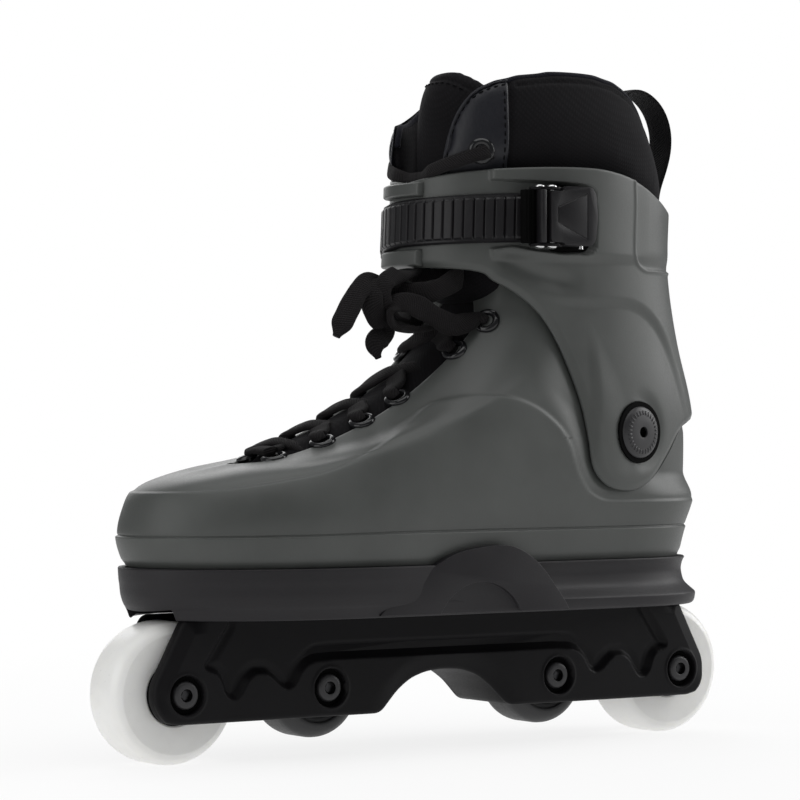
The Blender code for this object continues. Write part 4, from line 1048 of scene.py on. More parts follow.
def make_frame_side(side, word, outline):
    """The frame's side: a fine grid between its lower and upper edges, shaped by its styling lines."""
    outline = np.array(outline)
    turn = np.linspace(0, math.pi, 760)
    x = FRAME_HALF_LENGTH * np.sign(np.cos(turn)) * np.abs(np.cos(turn)) ** 0.8
    x = np.interp(np.linspace(0, 1, 900), np.linspace(0, 1, len(x)), x)
    lower = np.full(x.shape, np.inf)
    upper = np.full(x.shape, -np.inf)
    for (ax, az), (bx, bz) in zip(outline, np.roll(outline, -1, axis=0)):
        if abs(ax - bx) < 1e-9:
            continue
        share = (x - ax) / (bx - ax)
        hit = (share >= 0) & (share <= 1)
        z = az + share * (bz - az)
        lower = np.where(hit, np.minimum(lower, z), lower)
        upper = np.where(hit, np.maximum(upper, z), upper)
    rows = 110
    rise = 0.5 - 0.5 * np.cos(np.linspace(0, math.pi, rows))
    z = lower[None] * (1 - rise[:, None]) + upper[None] * rise[:, None]
    x = np.repeat(x[None], rows, axis=0)
    points = np.stack([x, z], axis=-1)
    edge = np.maximum(depth_inside(points, outline), 0)
    radius = 1.7
    inwards = radius - np.minimum(edge, radius)
    y = FRAME_HALF_W - radius + np.sqrt(np.clip(radius**2 - inwards**2, 0, None))
    pocket = depth_inside(points, soft_corners(frame_pocket(), 0.8))
    # The pocket's wall is a steep slope; along the straight run it widens into a channel.
    straight = smooth_step(-74, -64, -np.abs(x))
    y -= (2.7 + 0.9 * straight) * np.clip((pocket + 0.1) / (2.4 + 1.6 * straight), 0, 1) ** 0.8
    y += (0.6 + 1.0 * straight) * smooth_step(2.6, 6.0, pocket - 1.6 * straight)
    # The ends carry a wide chamfer.
    y -= 1.9 * np.clip(1 - edge / 6.2, 0, 1) * smooth_step(116, 122, np.abs(x)) * smooth_step(20, 30, z)
    # The arch's edge sweeps down and inwards.
    arch = (1 - smooth_step(0, 9, edge)) * (1 - smooth_step(22, 40, np.abs(x))) * (1 - smooth_step(34, 50, z))
    y -= 1.6 * arch
    for axle in AXLE_X:
        bore = np.hypot(x - axle, z - AXLE_Z)
        y -= 4.4 * (1 - smooth_step(COUNTERBORE_R - 0.25, COUNTERBORE_R + 0.25, bore))
        y += 0.35 * np.exp(-(((bore - COUNTERBORE_R - 0.8) / 0.6) ** 2))
    skin = np.stack([x, side * y, z], axis=-1)
    base = np.stack([x, side * np.full(x.shape, FLANK_BASE), z], axis=-1)
    bottom, top = np.array([base[0], skin[0]]), np.array([skin[-1], base[-1]])
    verts = np.concatenate([skin.reshape(-1, 3), bottom.reshape(-1, 3), top.reshape(-1, 3)])
    count = skin.size // 3
    across = x.shape[1]
    faces = np.concatenate([grid_faces(rows, across), grid_faces(2, across, start=count),
                            grid_faces(2, across, start=count + 2 * across)])
    add_mesh(f"frame_flank_{word}", verts, faces, BLACK, "boot", merge=0.005)


# ---------------------------------------------------------------- wheels and axles

def make_wheels():
    half = WHEEL_HALF_W
    for name, x, radius in zip(WHEEL_NAMES, AXLE_X, WHEEL_R):
        place, body = (x, 0, AXLE_Z), f"wheel_{name}"
        big = radius > 25
        core = 13.0
        side = [(core - 0.4, half - 2.0), (core + 0.3, half - 1.3), (core + 2.0, half - 0.9),
                (radius - 6.5, half - 0.2), (radius - 4.4, half), (radius - 2.6, half - 0.8),
                (radius - 1.2, half - 2.4), (radius - 0.35, half - 4.2), (radius, half - 6.5)]
        line = smooth_line(side, 34)
        profile = np.concatenate([line, line[::-1] * (1, -1)])
        lathe(f"tread_{name}", profile, place, WHITE_WHEEL if big else BLACK_WHEEL, body, [f"tyre_{name}"],
              steps=128, sharp=None)
        hub = [(core, half - 1.8), (core, 1.8 - half), (core - 0.4, 1.3 - half), (11.6, 1.3 - half),
               (11.3, 1.8 - half), (11.2, 7.2 - half), (8.0, 7.2 - half), (8.0, half - 7.2),
               (11.2, half - 7.2), (11.3, half - 1.8), (11.6, half - 1.3), (core - 0.4, half - 1.3)]
        lathe(f"hub_{name}", rounded(hub, 0.5, 3), place, BLACK, body, [f"core_{name}"], steps=96, sharp=30)
        for direction, word in ((1, "outer"), (-1, "inner")):
            middle = direction * (half - 3.5)
            ball = [(4.0, -3.5), (4.0, 3.5), (6.1, 3.5), (6.5, 2.9), (9.3, 2.9), (9.7, 3.5), (11.0, 3.5),
                    (11.0, -3.5)]
            lathe(f"race_{name}_{word}", rounded(ball, 0.25, 2), (x, middle, AXLE_Z), STEEL, body,
                  [f"bearing_{name}_{word}"], steps=64, sharp=25)


def make_axles():
    seat = FRAME_HALF_W - COUNTERBORE_DEPTH + 0.3
    for name, x in zip(WHEEL_NAMES, AXLE_X):
        for side, node in ((1, "axle_bolt"), (-1, "axle_nut")):
            head = [(2.45, side * (seat + 2.2)), (2.75, side * (seat + 2.6)), (4.4, side * (seat + 2.5)),
                    (5.2, side * (seat + 2.2)), (5.7, side * (seat + 1.5)), (5.8, side * seat),
                    (3.7, side * seat), (3.7, side * 12.6)]
            # Painted shadow: a black ring on the counterbore's floor round the head stands in for the shade
            # in the counterbore.
            shadow_pad = [(3.0, side * (seat - 1.2)), (3.0, side * (seat + 0.15)),
                   (COUNTERBORE_R, side * (seat + 0.15)), (COUNTERBORE_R, side * (seat - 1.2))]
            lathe(f"{node}_seat_{name}", shadow_pad, (x, 0, AXLE_Z), PAINTED_SHADOW_BLACK, "boot", steps=64, sharp=30)
            lathe(f"{node}_head_{name}", rounded(head, 0.25, 3)[4:-4], (x, 0, AXLE_Z), CAP_BLACK, "boot",
                  [f"{node}_{name}"], steps=64, closed=False, sharp=30)
            hex_socket(f"{node}_socket_{name}", 2.5, side * (seat + 0.5), side * (seat + 2.15),
                       (x, 0, AXLE_Z), BLACK_STEEL, "boot")


# ---------------------------------------------------------------- strap and buckle

def make_strap():
    angles = np.linspace(-96, 75, 900)
    a, v = np.meshgrid(angles, np.linspace(-1, 1, 27))
    low = np.interp(a, (-96, -46, -36, -25, 0, 80), (202.5, 203.5, 205, 210.6, 212.5, 214.4))
    high = np.interp(a, (-96, 0, 80), (228, 232.5, 235.4))
    z = (low + high) / 2 + v * (high - low) / 2
    run = np.repeat(length_along(cuff_points(angles, 223, 2.0))[None], len(a), axis=0)
    pitch = 4.3
    phase = (run / pitch) % 1.0
    rib = 1.3 * np.clip(np.minimum(phase / 0.1, (1 - phase) / 0.16), 0, 1) ** 0.6 * (0.8 + 0.2 * phase)
    middle = 1 - smooth_step(0.80, 0.86, np.abs(v))
    ribbed = smooth_step(55, 62, run) * middle
    out = 2.3 + rib * ribbed + 0.9 * middle * (1 - ribbed) * 0.4
    out += 0.25 * smooth_step(0.86, 0.9, np.abs(v))
    out -= 1.2 * smooth_step(0.955, 1.0, np.abs(v)) ** 2
    verts = np.concatenate([cuff_points(a, z, out).reshape(-1, 3), cuff_points(a, z, 0.5).reshape(-1, 3)])
    add_mesh("ratchet_strap", verts, slab_faces(*a.shape), STRAP_BLACK, "cuff_flap", ["ladder_strap"],
             merge=0.002, sharp=50)


def make_strap_screw():
    """The screw that holds the strap to the inner side of the cuff."""
    place, inner = (-54.9, 0, 218.0), (0, -1, 0)
    head = [(2.4, 47.1), (2.4, 48.3), (3.2, 48.5), (4.6, 48.2), (5.4, 47.4), (5.5, 46.0)]
    turned_line("strap_screw_head", smooth_line(head, 24), place, CAP_BLACK, "cuff_flap", steps=48,
                along=inner, replaces=["strap_screw"])
    hex_socket("strap_screw_socket", 2.4, 47.2, 48.4, place, BLACK_STEEL, "cuff_flap", along=inner)


# A plate behind the buckle, painted shadow-black so that the gap round the lever reads as shade, (x, z).
BACKING_SHADOW = [(-36, 238.6), (-54.0, 238.4), (-57.2, 236.4), (-58.4, 224), (-57.8, 213.4), (-55, 210.7),
           (-42, 210.6), (-36, 210.8)]


def make_buckle():
    low, high = BUCKLE_Z
    pin_x, pin_y = LEVER_PIN
    body = "cuff_flap"
    ear = [(pin_x - 5.5, 44.8), (pin_x + 8.5, 45.6), (pin_x + 9.2, 47.4), (pin_x + 6.0, 51.2),
           (pin_x + 2.4, 53.0), (pin_x - 2.4, 53.0), (pin_x - 5.5, 50.5)]
    base = carve("buckle_frame", block((pin_x - 19, 44.4, low + 0.5), (pin_x - 6, 46.0, high - 0.5)),
                 joins=[prism(rounded(ear, 1.0), z, z + 1.3, axis="Z") for z in (low, high - 1.3)]
                 + [bar((pin_x + 5.0, 49.0, low), (pin_x + 5.0, 49.0, high), 1.5, 24)], bevel=0.3)
    settle(base, BLACK, body, ["buckle_base"], sharp=30)
    # Painted shadow: the black plate shows in the pocket round the lever as its shade.
    plate = [tuple(place) for place in soft_corners(BACKING_SHADOW, 1.2)[::4]]
    settle(carve("buckle_backing_shadow", prism(plate, 41.0, 43.6), bevel=0.3), PAINTED_SHADOW_BLACK, body, sharp=30)
    bridge = block((pin_x + 4.4, 48.6, low + 1.3), (pin_x + 7.0, 53.0, high - 1.3))
    settle(carve("buckle_bridge", bridge, bevel=0.5), STRAP_BLACK, body, sharp=30)
    # Painted shadow: the buckle's slot in front of the lever is a black block with two fins, standing in for
    # the shade inside it.
    throat = block((pin_x + 4.8, 44.6, low + 1.3), (pin_x + 12.2, 48.2, high - 1.3))
    teeth = [block((pin_x + u, 46, low + 1.3), (pin_x + u + 0.6, 49.0, high - 1.3)) for u in (8.4, 10.6)]
    throat = carve("buckle_throat_shadow", throat, joins=teeth, bevel=0.2)
    settle(throat, PAINTED_SHADOW_BLACK, body, sharp=30)
    for z, way in ((low, -1), (high, 1)):
        rivet = [(0.01, 1.0), (1.2, 0.95), (2.0, 0.5), (2.2, 0.0), (2.2, -0.6)]
        for u, v, word in ((0, pin_y, "pin"), (5.2, 48.6, "rivet")):
            turned_line(f"{word}_head_{'upper' if way > 0 else 'lower'}", smooth_line(rivet, 14),
                        (pin_x + u, v, z), STEEL, body, steps=32, along=(0, 0, way))
    back, front, step = pin_x - 21.0, pin_x + 2.6, pin_x - 4.0
    outline = rounded([(front, low + 1.7), (step, low + 1.7), (step - 1, low + 0.6), (back + 2.0, low + 0.6),
                       (back, low + 3.6), (back - 1.0, 224.6), (back, high - 2.4), (back + 2.0, high + 0.4),
                       (step - 1, high + 0.4), (step, high - 1.7), (front, high - 1.7)], 1.6, 5)
    shape = bmesh.new()
    face = shape.faces.new([shape.verts.new((x, 51.2, z)) for x, z in outline])
    grown = bmesh.ops.extrude_face_region(shape, geom=[face])
    bmesh.ops.translate(shape, vec=(0, 2.3, 0),
                        verts=[g for g in grown["geom"] if isinstance(g, bmesh.types.BMVert)])
    trapezoid = [(pin_x - 1.2, 222.0), (pin_x - 16.6, 215.4), (pin_x - 16.6, 234.6), (pin_x - 1.2, 228.6)]
    groove = [bar((ax, 53.75, az), (bx, 53.75, bz), 0.55, 12)
              for (ax, az), (bx, bz) in zip(trapezoid, trapezoid[1:] + trapezoid[:1])]
    lever = carve("lever_plate", shape, cuts=groove,
                  joins=[bar((pin_x, pin_y, low + 1.7), (pin_x, pin_y, high - 1.7), 2.8, 32)], bevel=0.4)
    settle(lever, STRAP_BLACK, "buckle_lever", ["buckle_lever"], sharp=35)


# ---------------------------------------------------------------- liner

def make_liner():
    """The bootie inside the shell, seen through the throat."""
    a, u = np.meshgrid(np.linspace(0, AROUND, 240, endpoint=False), np.linspace(0.4, RIM_ROW + 0.05, 120))
    front = np.minimum(a, AROUND - a)
    bulge = 2.6 * (1 - smooth_step(0.7, 1.5, front)) * smooth_step(4.1, 4.6, u)
    bulge += (2.2 * (1 - smooth_step(0.2, 1.0, front)) * smooth_step(4.2, 4.8, u)
              * (1 - smooth_step(6.8, 7.2, u)))
    points, normal = boot_points(a, u, inset=SHELL_WALL + 1.2, normals=True)
    points = points + normal * bulge[..., None]
    # Above this height the bootie is squeezed down, out of the collar's way.
    top = 203
    over = points[..., 2] > top
    points[..., 2] = np.where(over, top + (points[..., 2] - top) * 0.3, points[..., 2])
    add_mesh("bootie_skin", points, grid_faces(*a.shape, wrap=True), NEOPRENE, "boot", ["liner_bootie"])


def read_vertices(obj, what):
    flat = np.empty(len(obj.data.vertices) * 3)
    obj.data.vertices.foreach_get(what, flat)
    return flat.reshape(-1, 3)


def points_of(obj):
    return read_vertices(obj, "co") / MM


def put_points(obj, points):
    obj.data.vertices.foreach_set("co", (points * MM).ravel())
    obj.data.update()


CLOTH_FRAMES = 20


def puff(obj, voxel, cap, free):
    """No point swells further than its share of cap, in millimetres, and free gives that share.
    """
    remesh = obj.modifiers.new("remesh", "REMESH")
    remesh.mode = "VOXEL"
    remesh.voxel_size = voxel * MM
    freeze(obj)
    rest = points_of(obj)
    cloth = obj.modifiers.new("cloth", "CLOTH")
    cloth.settings.use_pressure = True
    cloth.settings.uniform_pressure_force = 4
    cloth.settings.effector_weights.gravity = 0
    cloth.settings.quality = 4
    cloth.point_cache.frame_start, cloth.point_cache.frame_end = 1, CLOTH_FRAMES
    for number in range(1, CLOTH_FRAMES + 1):
        bpy.context.scene.frame_set(number)
    freeze(obj)
    bpy.context.scene.frame_set(1)
    shift = points_of(obj) - rest
    far = np.linalg.norm(shift, axis=1, keepdims=True)
    put_points(obj, rest + shift * np.minimum(1, cap * free(rest)[:, None] / np.maximum(far, 1e-6)))
    smooth = obj.modifiers.new("smooth", "CORRECTIVE_SMOOTH")
    smooth.iterations = 6
    smooth.use_only_smooth = True
    finer = obj.modifiers.new("finer", "SUBSURF")
    finer.levels = finer.render_levels = 1
    freeze(obj)


def sew(obj, lines, depth, width):
    """Draws a pad's surface in along its seams. Each seam is a list of 3D points."""
    points = points_of(obj)
    pull = np.zeros(len(points))
    for line in lines:
        low, high = line.min(0) - 4 * width, line.max(0) + 4 * width
        close = np.flatnonzero(((points > low) & (points < high)).all(axis=1))
        pull[close] = np.maximum(pull[close], np.exp(-((line_distance(points[close], line) / width) ** 2)))
    put_points(obj, points - read_vertices(obj, "normal") * pull[:, None] * depth)


def surface_of(obj):
    obj.data.update()
    return BVHTree.FromPolygons([v.co[:] for v in obj.data.vertices],
                                [p.vertices[:] for p in obj.data.polygons])


def laid(tree, points, outward, lift):
    """Points in millimetres dropped onto a surface from outside, and lifted a little."""
    above, reach = 14, 40
    out = []
    for point, way in zip(np.asarray(points).reshape(-1, 3), np.asarray(outward).reshape(-1, 3)):
        way = Vector(way).normalized()
        hit = tree.ray_cast(Vector(point) * MM + way * above * MM, -way, reach * MM)[0]
        spot = hit / MM if hit else Vector(point)
        out.append(spot + way * lift)
    return np.array([tuple(v) for v in out]).reshape(np.shape(points))


def tube(name, path, radius, material, body):
    """A round cord sewn on, closed at its ends."""
    sides = 10
    along = unit(np.gradient(path, axis=0))
    side = unit(np.cross(along, np.tile([0.03, 0.11, 1.0], (len(path), 1))))
    up = np.cross(side, along)
    turns = np.linspace(0, math.tau, sides, endpoint=False)
    rings = path[:, None] + radius * (side[:, None] * np.cos(turns)[None, :, None]
                                      + up[:, None] * np.sin(turns)[None, :, None])
    add_mesh(name, rings, tube_faces(len(path), sides), material, body)


def stitches(name, path, normals, body):
    """A row of stitches along a line, as one mesh."""
    length, pitch, radius = 2.3, 3.5, 0.34
    sides, rings = 6, 6
    run = length_along(path)
    verts, faces = [], []
    for start in np.arange(pitch * 0.3, run[-1] - length, pitch):
        at = np.linspace(start, start + length, rings)
        centre, up = read_along(path, run, at), unit(read_along(normals, run, at))
        side = np.cross(unit(centre[-1] - centre[0]), up)
        bend = np.sin(np.linspace(0, math.pi, rings))
        size = radius * np.sqrt(np.clip(1 - np.linspace(-0.96, 0.96, rings) ** 4, 0.1, 1))
        centre = centre + up * (bend[:, None] * 0.35 - 0.2)
        faces += tube_faces(rings, sides, start=len(verts))
        for k in range(rings):
            for turn in np.linspace(0, math.tau, sides, endpoint=False):
                verts.append(centre[k] + size[k] * (side[k] * math.cos(turn) + up[k] * math.sin(turn)))
    add_mesh(name, np.array(verts), faces, THREAD, body)


def collar_edge(angle):
    """The height of the collar's edge; the inner flap stands lower at the front."""
    turned = signed_angle(angle)
    return np.where(turned < 0, soft_edge(COLLAR_HIGH_FAR, turned), soft_edge(COLLAR_HIGH, turned))


def collar_out(angle, z):
    """How far the collar's outer face lies outside the cuff's outer face."""
    rim, high = soft_edge(CUFF_HIGH, angle), collar_edge(angle)
    turned = signed_angle(angle)
    front = 1 - smooth_step(40, 75, np.abs(turned))
    out = -CUFF_WALL - LINER_GAP + (2.9 + 1.6 * front) * smooth_step(0.5, 9, z - rim)
    far = (turned < 0) * front
    return out - (5.2 - 3.4 * front) * smooth_step(-24, 2, z - high) + 1.3 * far * smooth_step(236, 258, z)


def collar_spot(angle, z):
    return cuff_points(angle, z, collar_out(angle, z))


def collar_outward(angle, z):
    return unit(cuff_points(angle, z, 1.0) - cuff_points(angle, z, 0.0))


def collar_line(start, end, drop, count, mirror):
    """Angles and heights along the collar's edge, a little below it, evenly stepped."""
    angles = np.linspace(start, end, 900)
    degree = CUFF_DEGREE * 0.92
    line = even_line(np.stack([angles * degree, collar_edge(mirror * angles)], axis=-1), count)
    slope = unit(np.gradient(line, axis=0))
    line = line + np.stack([slope[:, 1], -slope[:, 0]], axis=-1) * drop
    return line[:, 0] / degree, line[:, 1]


def make_collar():
    angles = np.linspace(20.5, 337.5, 330)
    high = collar_edge(angles)
    from_front = np.minimum(angles, 360 - angles)
    low = 206 + 14 * (1 - smooth_step(60, 110, from_front))
    wall = 8.0 - 2.2 * (1 - smooth_step(40, 75, from_front))
    edge_out = collar_out(angles, high - 3)
    # Up the outer face, over the rounded edge, and down the inner face.
    sections = [collar_spot(angles, low + (high - 3 - low) * rise) for rise in np.linspace(0, 1, 44)]
    for turn in np.linspace(0, math.pi, 11)[1:-1]:
        out = edge_out - wall / 2 * (1 - math.cos(turn))
        sections.append(cuff_points(angles, high - 3 + 3 * math.sin(turn), out))
    for rise in np.linspace(1, 0, 30):
        out = edge_out - wall - 1.5 * (1 - rise)
        sections.append(cuff_points(angles, low + (high - 3 - low) * rise, out))
    grid = np.array(sections)
    rows, count = grid.shape[:2]
    faces = [list(f) for f in grid_faces(rows, count)]
    faces += [[(rows - 1) * count + c, (rows - 1) * count + c + 1, c + 1, c] for c in range(count - 1)]
    faces += [[row * count for row in range(rows)][::-1], [row * count + count - 1 for row in range(rows)]]
    collar = add_mesh("collar_pad", grid, faces, NEOPRENE, merge=0.01)

    def free(points):
        """Only what stands above the cuff's rim may swell."""
        flat = np.degrees(np.arctan2(points[:, 1], points[:, 0] + 58.5))
        rim = soft_edge(CUFF_HIGH, flat)
        return smooth_step(rim + 1, rim + 14, points[:, 2])

    puff(collar, 2.5, 2.2, free)
    tree = surface_of(collar)

    def on_collar(angle, z, lift):
        way = collar_outward(angle, z)
        return laid(tree, collar_spot(angle, z), way, lift), way

    seams = []
    seam = 57.5
    for mirror in (1, -1):
        a, z = collar_line(60, 180, 4.6, 120, mirror)
        seams.append(on_collar(mirror * a, z, 0)[0])
        z = np.linspace(240, float(collar_edge(mirror * seam)) - 2, 40)
        seams.append(on_collar(mirror * (seam + 0 * z), z, 0)[0])
    sew(collar, seams, 1.0, 0.9)
    tree = surface_of(collar)
    settle(collar, NEOPRENE, "cuff_flap", ["liner_collar"])
    for mirror, word in ((1, "outer"), (-1, "inner")):
        dress_collar(tree, on_collar, mirror, word)


def dress_collar(tree, on_collar, mirror, word):
    """One side's facing, piping, stitches and eyelet."""
    # A smooth facing round the eyelet at the front, up to the seam.
    lip, facing_end, steps = (20.1 if mirror > 0 else 22.1), 56.6, 120
    a, rise = np.meshgrid(np.linspace(0, 1, 60), np.linspace(0, 1, 70))
    front_angle, front_z = collar_line(lip, facing_end, 1.4, steps, mirror)
    first = np.interp(rise, np.linspace(0, 1, steps), front_angle)
    z = np.interp(rise, np.linspace(0, 1, steps), front_z)
    angle = first + (facing_end - first) * a
    points, way = on_collar(mirror * angle, z, 0.0)
    edge = np.minimum((angle - first) * 0.9 + 0.2, (facing_end - angle) * 0.9)
    lift = 0.75 * quarter_round(edge / 0.9) - 0.1
    add_mesh(f"facing_{word}", points + way * lift[..., None], grid_faces(*a.shape), FACING, "cuff_flap")
    # Piping all along the edge.
    a, z = collar_line(lip + 0.3, 180, 0.2, 300, mirror)
    guess = cuff_points(mirror * a, z, collar_out(mirror * a, z) - 1.6)
    path = np.array([tuple(tree.find_nearest(Vector(point) * MM)[0] / MM) for point in guess])
    tube(f"collar_piping_{word}", worn(path, 1.4, 0.9), 1.35, PIPING, "cuff_flap")
    # Stitches below the edge and along the seam.
    seam = 54.6
    up = np.linspace(241, float(collar_edge(mirror * seam)) - 3.6, 60)
    for label, (a, z) in (("edge", collar_line(lip + 0.6, 54.5, 3.4, 110, mirror)),
                          ("seam", (seam + 0 * up, up))):
        points, way = on_collar(mirror * a, z, 0.75)
        stitches(f"stitches_{label}_{word}", points, way, "cuff_flap")
    points, way = on_collar(np.array([mirror * 44.0]), np.array([252.3]), 0.7)
    ring = [(2.6, -1.5), (2.6, 0.3), (3.2, 1.0), (4.2, 1.15), (5.0, 0.8), (5.6, 0.1), (5.6, -0.8)]
    for name, line in (("eyelet", smooth_line(ring, 24)), ("eyelet_hole", [(0.01, -0.3), (2.7, -0.3)])):
        turned_line(f"collar_{name}_{word}", line, points[0], GLOSS_BLACK, "cuff_flap", steps=44,
                    along=way[0])


# The tongue's front seen from the side: (x, share of its height).
TONGUE_LINE = [(-13, 0.0), (-9, 0.1), (-5.6, 0.24), (-4.4, 0.4), (-3.9, 0.6), (-4.0, 0.74), (-5.4, 0.86),
               (-9, 0.95), (-13.6, 1.0)]
TONGUE_LOW, TONGUE_HIGH = 190.0, 289.4


def tongue_face(rise, v):
    """The front of the tongue, at a share of its height and from -1 to 1 across it."""
    line = even_line(smooth_line(TONGUE_LINE, 200), 200)
    x = np.interp(rise, line[:, 1], line[:, 0])
    z = TONGUE_LOW + (TONGUE_HIGH - TONGUE_LOW) * rise
    half = 17.2 + 1.5 * smooth_step(0.8, 1.0, rise) + 8.5 * (1 - smooth_step(0.04, 0.3, rise))
    y = (half + 2.6 * smooth_step(0.55, 0.9, rise) * (v > 0)) * v
    corner = np.where(v > 0, 9.5 * np.clip((v - 0.15) / 0.85, 0, 1) ** 1.8,
                      5.7 * np.clip((-v - 0.55) / 0.45, 0, 1) ** 2.8)
    z = z - corner * smooth_step(0.6, 1.0, rise)
    return np.stack([x - 6.6 * (y / 17.5) ** 2, y, z], axis=-1)


def make_tongue():
    rows, columns = 90, 50
    rise, v = np.meshgrid(np.linspace(0, 1, rows), np.linspace(-1, 1, columns), indexing="ij")
    front = tongue_face(rise, v)
    thick = 7.0 * np.sqrt(np.clip(1 - np.abs(v) ** 4, 0, 1)) * np.sqrt(np.clip(1 - rise**24, 0, 1)) + 2.8
    back = front - np.stack([thick, 0 * thick, 0.15 * thick], axis=-1)
    verts = np.concatenate([front.reshape(-1, 3), back.reshape(-1, 3)])
    tongue = add_mesh("tongue_pad", verts, slab_faces(rows, columns), NEOPRENE, merge=0.01)
    puff(tongue, 2.0, 2.0, lambda points: smooth_step(200, 235, points[:, 2]))
    tree = surface_of(tongue)
    v = np.linspace(-0.93, 0.93, 90)
    way = np.tile([0.93, 0.0, 0.36], (len(v), 1))
    seam = laid(tree, tongue_face(0.957 + 0 * v, v), way, 0.0)
    sew(tongue, [seam[6:-6]], 0.7, 0.8)
    settle(tongue, NEOPRENE, None, ["tongue"])
    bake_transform(tongue)
    tree = surface_of(tongue)
    line = laid(tree, tongue_face(0.940 + 0 * v, v), way, 0.25)
    stitches("tongue_stitches", line[7:-7], way[7:-7], "cuff_flap")


def ribbon(name, path, width, thickness, material, normals, body, replaces=()):
    """A woven tape along a path, its width square to the path and to the normals. UVs follow the weave."""
    along = unit(np.gradient(path, axis=0))
    side = unit(np.cross(along, normals))
    up = np.cross(side, along)
    turns = np.linspace(0, math.tau, 20, endpoint=False)
    c, s = np.cos(turns), np.sin(turns)
    wide = np.sign(c) * np.abs(c) ** 0.7 * np.reshape(width, (-1, 1)) / 2
    tall = np.sign(s) * np.abs(s) ** 0.8 * np.reshape(thickness, (-1, 1)) / 2
    rings = path[:, None] + side[:, None] * wide[..., None] + up[:, None] * tall[..., None]
    rows, columns = rings.shape[:2]
    obj = add_mesh(name, rings, tube_faces(rows, columns), material, body, replaces)
    layer = obj.data.uv_layers.new(name="weave")
    run = length_along(path) * MM
    for polygon in obj.data.polygons:
        for loop in polygon.loop_indices:
            row, column = divmod(obj.data.loops[loop].vertex_index, columns)
            # A face that closes the ring ends at 1 instead of going back to 0.
            closing = column == 0 and any(obj.data.loops[k].vertex_index % columns == columns - 1
                                          for k in polygon.loop_indices)
            layer.data[loop].uv = (1.0 if closing else column / columns, run[row])
    return obj


def make_pull_loop():
    line = [(-105.6, 0, 249), (-103.4, 0, 257), (-102.4, 0, 268), (-103.6, 0, 278), (-107.5, 0, 284.2),
            (-113.5, 0, 286), (-120, 0, 284), (-126.5, 0, 278.5), (-130.6, 0, 269.5), (-130.6, 0, 259),
            (-127.5, 0, 249), (-124.6, 0, 241), (-123.6, 0, 233)]
    path = even_line(smooth_line(line, 200), 120)
    along = np.gradient(path, axis=0)
    normals = np.stack([-along[:, 2], 0 * along[:, 0], along[:, 0]], axis=1)
    ribbon("pull_tape", path, 15.5, 1.7, WEBBING, normals, "cuff_flap", ["pull_loop"])


# ---------------------------------------------------------------- laces

LACE_WIDTH, LACE_THICK = 9.2, 2.9
FRONT, BACK = (0.56, 0.83, 0.05), (-0.56, -0.83, 0.05)
RIGHT, LEFT = (-0.83, 0.56, 0.0), (0.83, -0.56, 0.0)
UP, DOWN = (0.1, 0.1, 1.0), (0.1, 0.1, -1.0)
# The lace's two ends, each from its tip through the knot and its loop, with the way its flat side faces.
NEAR_END = [
    (56.2, 21, 173.5, FRONT), (53.2, 21, 179.4, FRONT), (48.6, 20, 186.3, FRONT), (44.4, 19, 192.3, FRONT),
    (39.2, 18, 196.3, FRONT), (32.6, 15, 196.1, FRONT), (24.4, 12, 194.8, FRONT), (18.9, 13, 193.6, FRONT),
    (15.4, 17, 192.2, FRONT), (10.2, 20, 192.4, FRONT), (4.3, 22, 194.5, FRONT), (-2.7, 21, 197.7, FRONT),
    (-9.5, 17, 201.9, RIGHT), (-12.5, 10, 205.5, RIGHT), (-11.4, 4, 206.2, BACK), (-6, 1, 204.2, BACK),
    (2.1, 2, 202.2, BACK), (13.1, 9, 201, UP), (24.2, 17, 199.9, FRONT), (31.4, 20.5, 197.2, FRONT),
    (33.9, 21, 192.5, FRONT), (32.7, 20, 187, FRONT), (25.4, 15, 182.2, DOWN), (14.2, 6, 180.6, DOWN),
    (8, -4, 184, DOWN), (1, -12, 183.5, BACK)]
FAR_END = [
    (32.7, 17, 165, FRONT), (34.6, 17, 168.8, FRONT), (33.4, 17, 172.7, FRONT), (27, 14, 175.8, FRONT),
    (26.6, 13, 178.9, FRONT), (33.4, 17, 181.6, FRONT), (38.1, 20, 186.5, FRONT), (38.1, 20, 191.6, FRONT),
    (34.7, 19, 195.5, FRONT), (27.5, 15, 196.7, UP), (17.6, 8, 195.1, UP), (10, 6, 191.9, RIGHT),
    (3.7, 6, 187.7, RIGHT), (-0.1, 8, 182.5, RIGHT), (4.7, 12, 178, DOWN), (14.7, 16, 177, DOWN),
    (22.8, 18, 177.9, DOWN), (28.6, 20, 180.3, LEFT), (30.3, 21, 184.5, LEFT), (27.6, 22, 188.2, FRONT),
    (23.3, 24, 188.6, FRONT), (17.4, 24.5, 186.4, FRONT), (9.8, 24, 183.1, FRONT), (1.8, 23, 179.6, FRONT),
    (-3.4, 23, 179.1, FRONT)]


